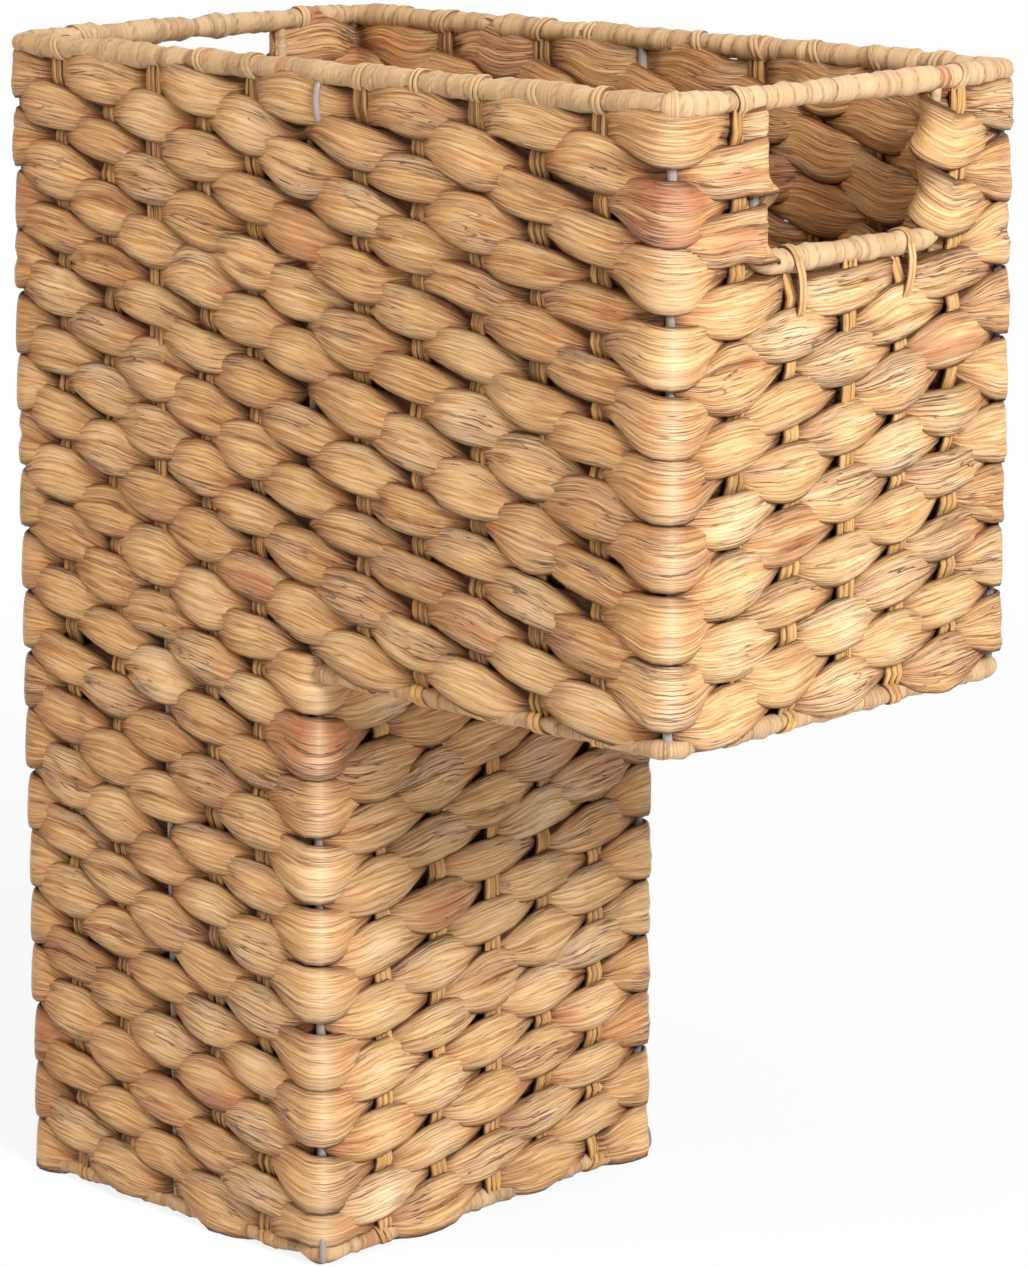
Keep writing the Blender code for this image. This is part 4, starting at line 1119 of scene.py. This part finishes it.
class BASKET_OT_set_stage(bpy.types.Operator):
    """Set the pale floor, the soft lights and the camera"""
    bl_idname = "basket.set_stage"
    bl_label = "Set the stage"

    def execute(self, context):
        scene = context.scene
        scene.view_settings.view_transform = "Standard"
        self.lay_floor(scene)
        self.light(scene)
        self.aim(scene)
        return {"FINISHED"}

    def lay_floor(self, scene):
        bm = bmesh.new()
        bmesh.ops.create_grid(bm, x_segments=1, y_segments=1, size=30.0)
        mesh = bpy.data.meshes.new("pale_floor")
        bm.to_mesh(mesh)
        bm.free()
        material, tree, shader = new_material("pale floor", 0.9, 0.1)
        shader.inputs["Base Color"].default_value = (0.86, 0.86, 0.86, 1.0)
        glow = add_node(tree, "ShaderNodeEmission", Color=(1.0, 1.0, 1.0, 1.0), Strength=1.0)
        where = add_node(tree, "ShaderNodeTexCoord").outputs["Object"]
        away = add_node(tree, "ShaderNodeVectorMath", {"operation": "LENGTH"}, i0=where).outputs["Value"]
        share = maths(tree, "MULTIPLY", seen_directly(tree), ranged(tree, away, 0.3, 1.2, 0.86, 1.0))
        blend = add_node(tree, "ShaderNodeMixShader", i0=share)
        tree.links.new(shader.outputs[0], blend.inputs[1])
        tree.links.new(glow.outputs[0], blend.inputs[2])
        tree.links.new(blend.outputs[0], tree.nodes["Material Output"].inputs["Surface"])
        mesh.materials.append(material)
        floor = bpy.data.objects.new("pale_floor", mesh)
        scene.collection.objects.link(floor)

    def light(self, scene):
        world = bpy.data.worlds.new("studio")
        scene.world = world
        world.use_nodes = True
        tree = world.node_tree
        backdrop = tree.nodes["Background"]
        backdrop.inputs["Color"].default_value = (1.0, 1.0, 1.0, 1.0)
        unseen = maths(tree, "MULTIPLY", seen_directly(tree), 1.0 - AMBIENT)
        tree.links.new(maths(tree, "ADD", AMBIENT, unseen), backdrop.inputs["Strength"])
        for name, place, size, power, tint in LAMPS:
            lamp = bpy.data.lights.new(name, "AREA")
            lamp.shape, lamp.size, lamp.energy, lamp.color = "DISK", size, power, tint
            holder = bpy.data.objects.new(name, lamp)
            holder.location = place
            aim = Vector((0.0, 0.0, 0.2)) - Vector(place)
            holder.rotation_euler = aim.to_track_quat("-Z", "Y").to_euler()
            scene.collection.objects.link(holder)

    def aim(self, scene):
        camera = bpy.data.cameras.new("camera")
        camera.lens, camera.sensor_width = CAMERA_LENS, 36.0
        camera.clip_start = 0.05
        holder = bpy.data.objects.new("camera", camera)
        yaw, pitch = (math.radians(angle) for angle in CAMERA_ANGLES)
        right = Vector((math.cos(yaw), math.sin(yaw), 0.0))
        back = Vector((math.sin(yaw) * math.cos(pitch), -math.cos(yaw) * math.cos(pitch), math.sin(pitch)))
        up = back.cross(right)
        turned = Matrix((right, up, back)).transposed().to_4x4()
        across, above, away = CAMERA_PLACE
        turned.translation = right * across + up * above + back * away
        holder.matrix_world = turned
        scene.collection.objects.link(holder)
        scene.camera = holder


class BASKET_PT_panel(bpy.types.Panel):
    bl_label = "Stair basket"
    bl_idname = "BASKET_PT_panel"
    bl_space_type = "VIEW_3D"
    bl_region_type = "UI"
    bl_category = "Basket"

    def draw(self, context):
        for operator in OPERATORS:
            self.layout.operator(operator.bl_idname)
        for group in GROUPS:
            settings = getattr(context.scene, group)
            for name in settings.__annotations__:
                self.layout.prop(settings, name)


OPERATORS = (BASKET_OT_coat_wires, BASKET_OT_lay_warps, BASKET_OT_weave_walls, BASKET_OT_weave_floors,
             BASKET_OT_bind_rims, BASKET_OT_bind_handles, BASKET_OT_hook_wires, BASKET_OT_set_stage)
GROUPS = {"basket_weave": WeaveSizes, "basket_binding": BindingSizes, "basket_twine": TwineSizes,
          "basket_colours": BasketColours}


def register():
    for group, kind in GROUPS.items():
        bpy.utils.register_class(kind)
        setattr(bpy.types.Scene, group, PointerProperty(type=kind))
    for kind in OPERATORS + (BASKET_PT_panel,):
        bpy.utils.register_class(kind)


def unregister():
    for kind in (BASKET_PT_panel,) + OPERATORS[::-1]:
        bpy.utils.unregister_class(kind)
    for group, kind in GROUPS.items():
        delattr(bpy.types.Scene, group)
        bpy.utils.unregister_class(kind)


def main():
    register()
    for operator in OPERATORS:
        getattr(bpy.ops.basket, operator.bl_idname.split(".")[1])()
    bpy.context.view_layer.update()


if __name__ == "__main__":
    main()
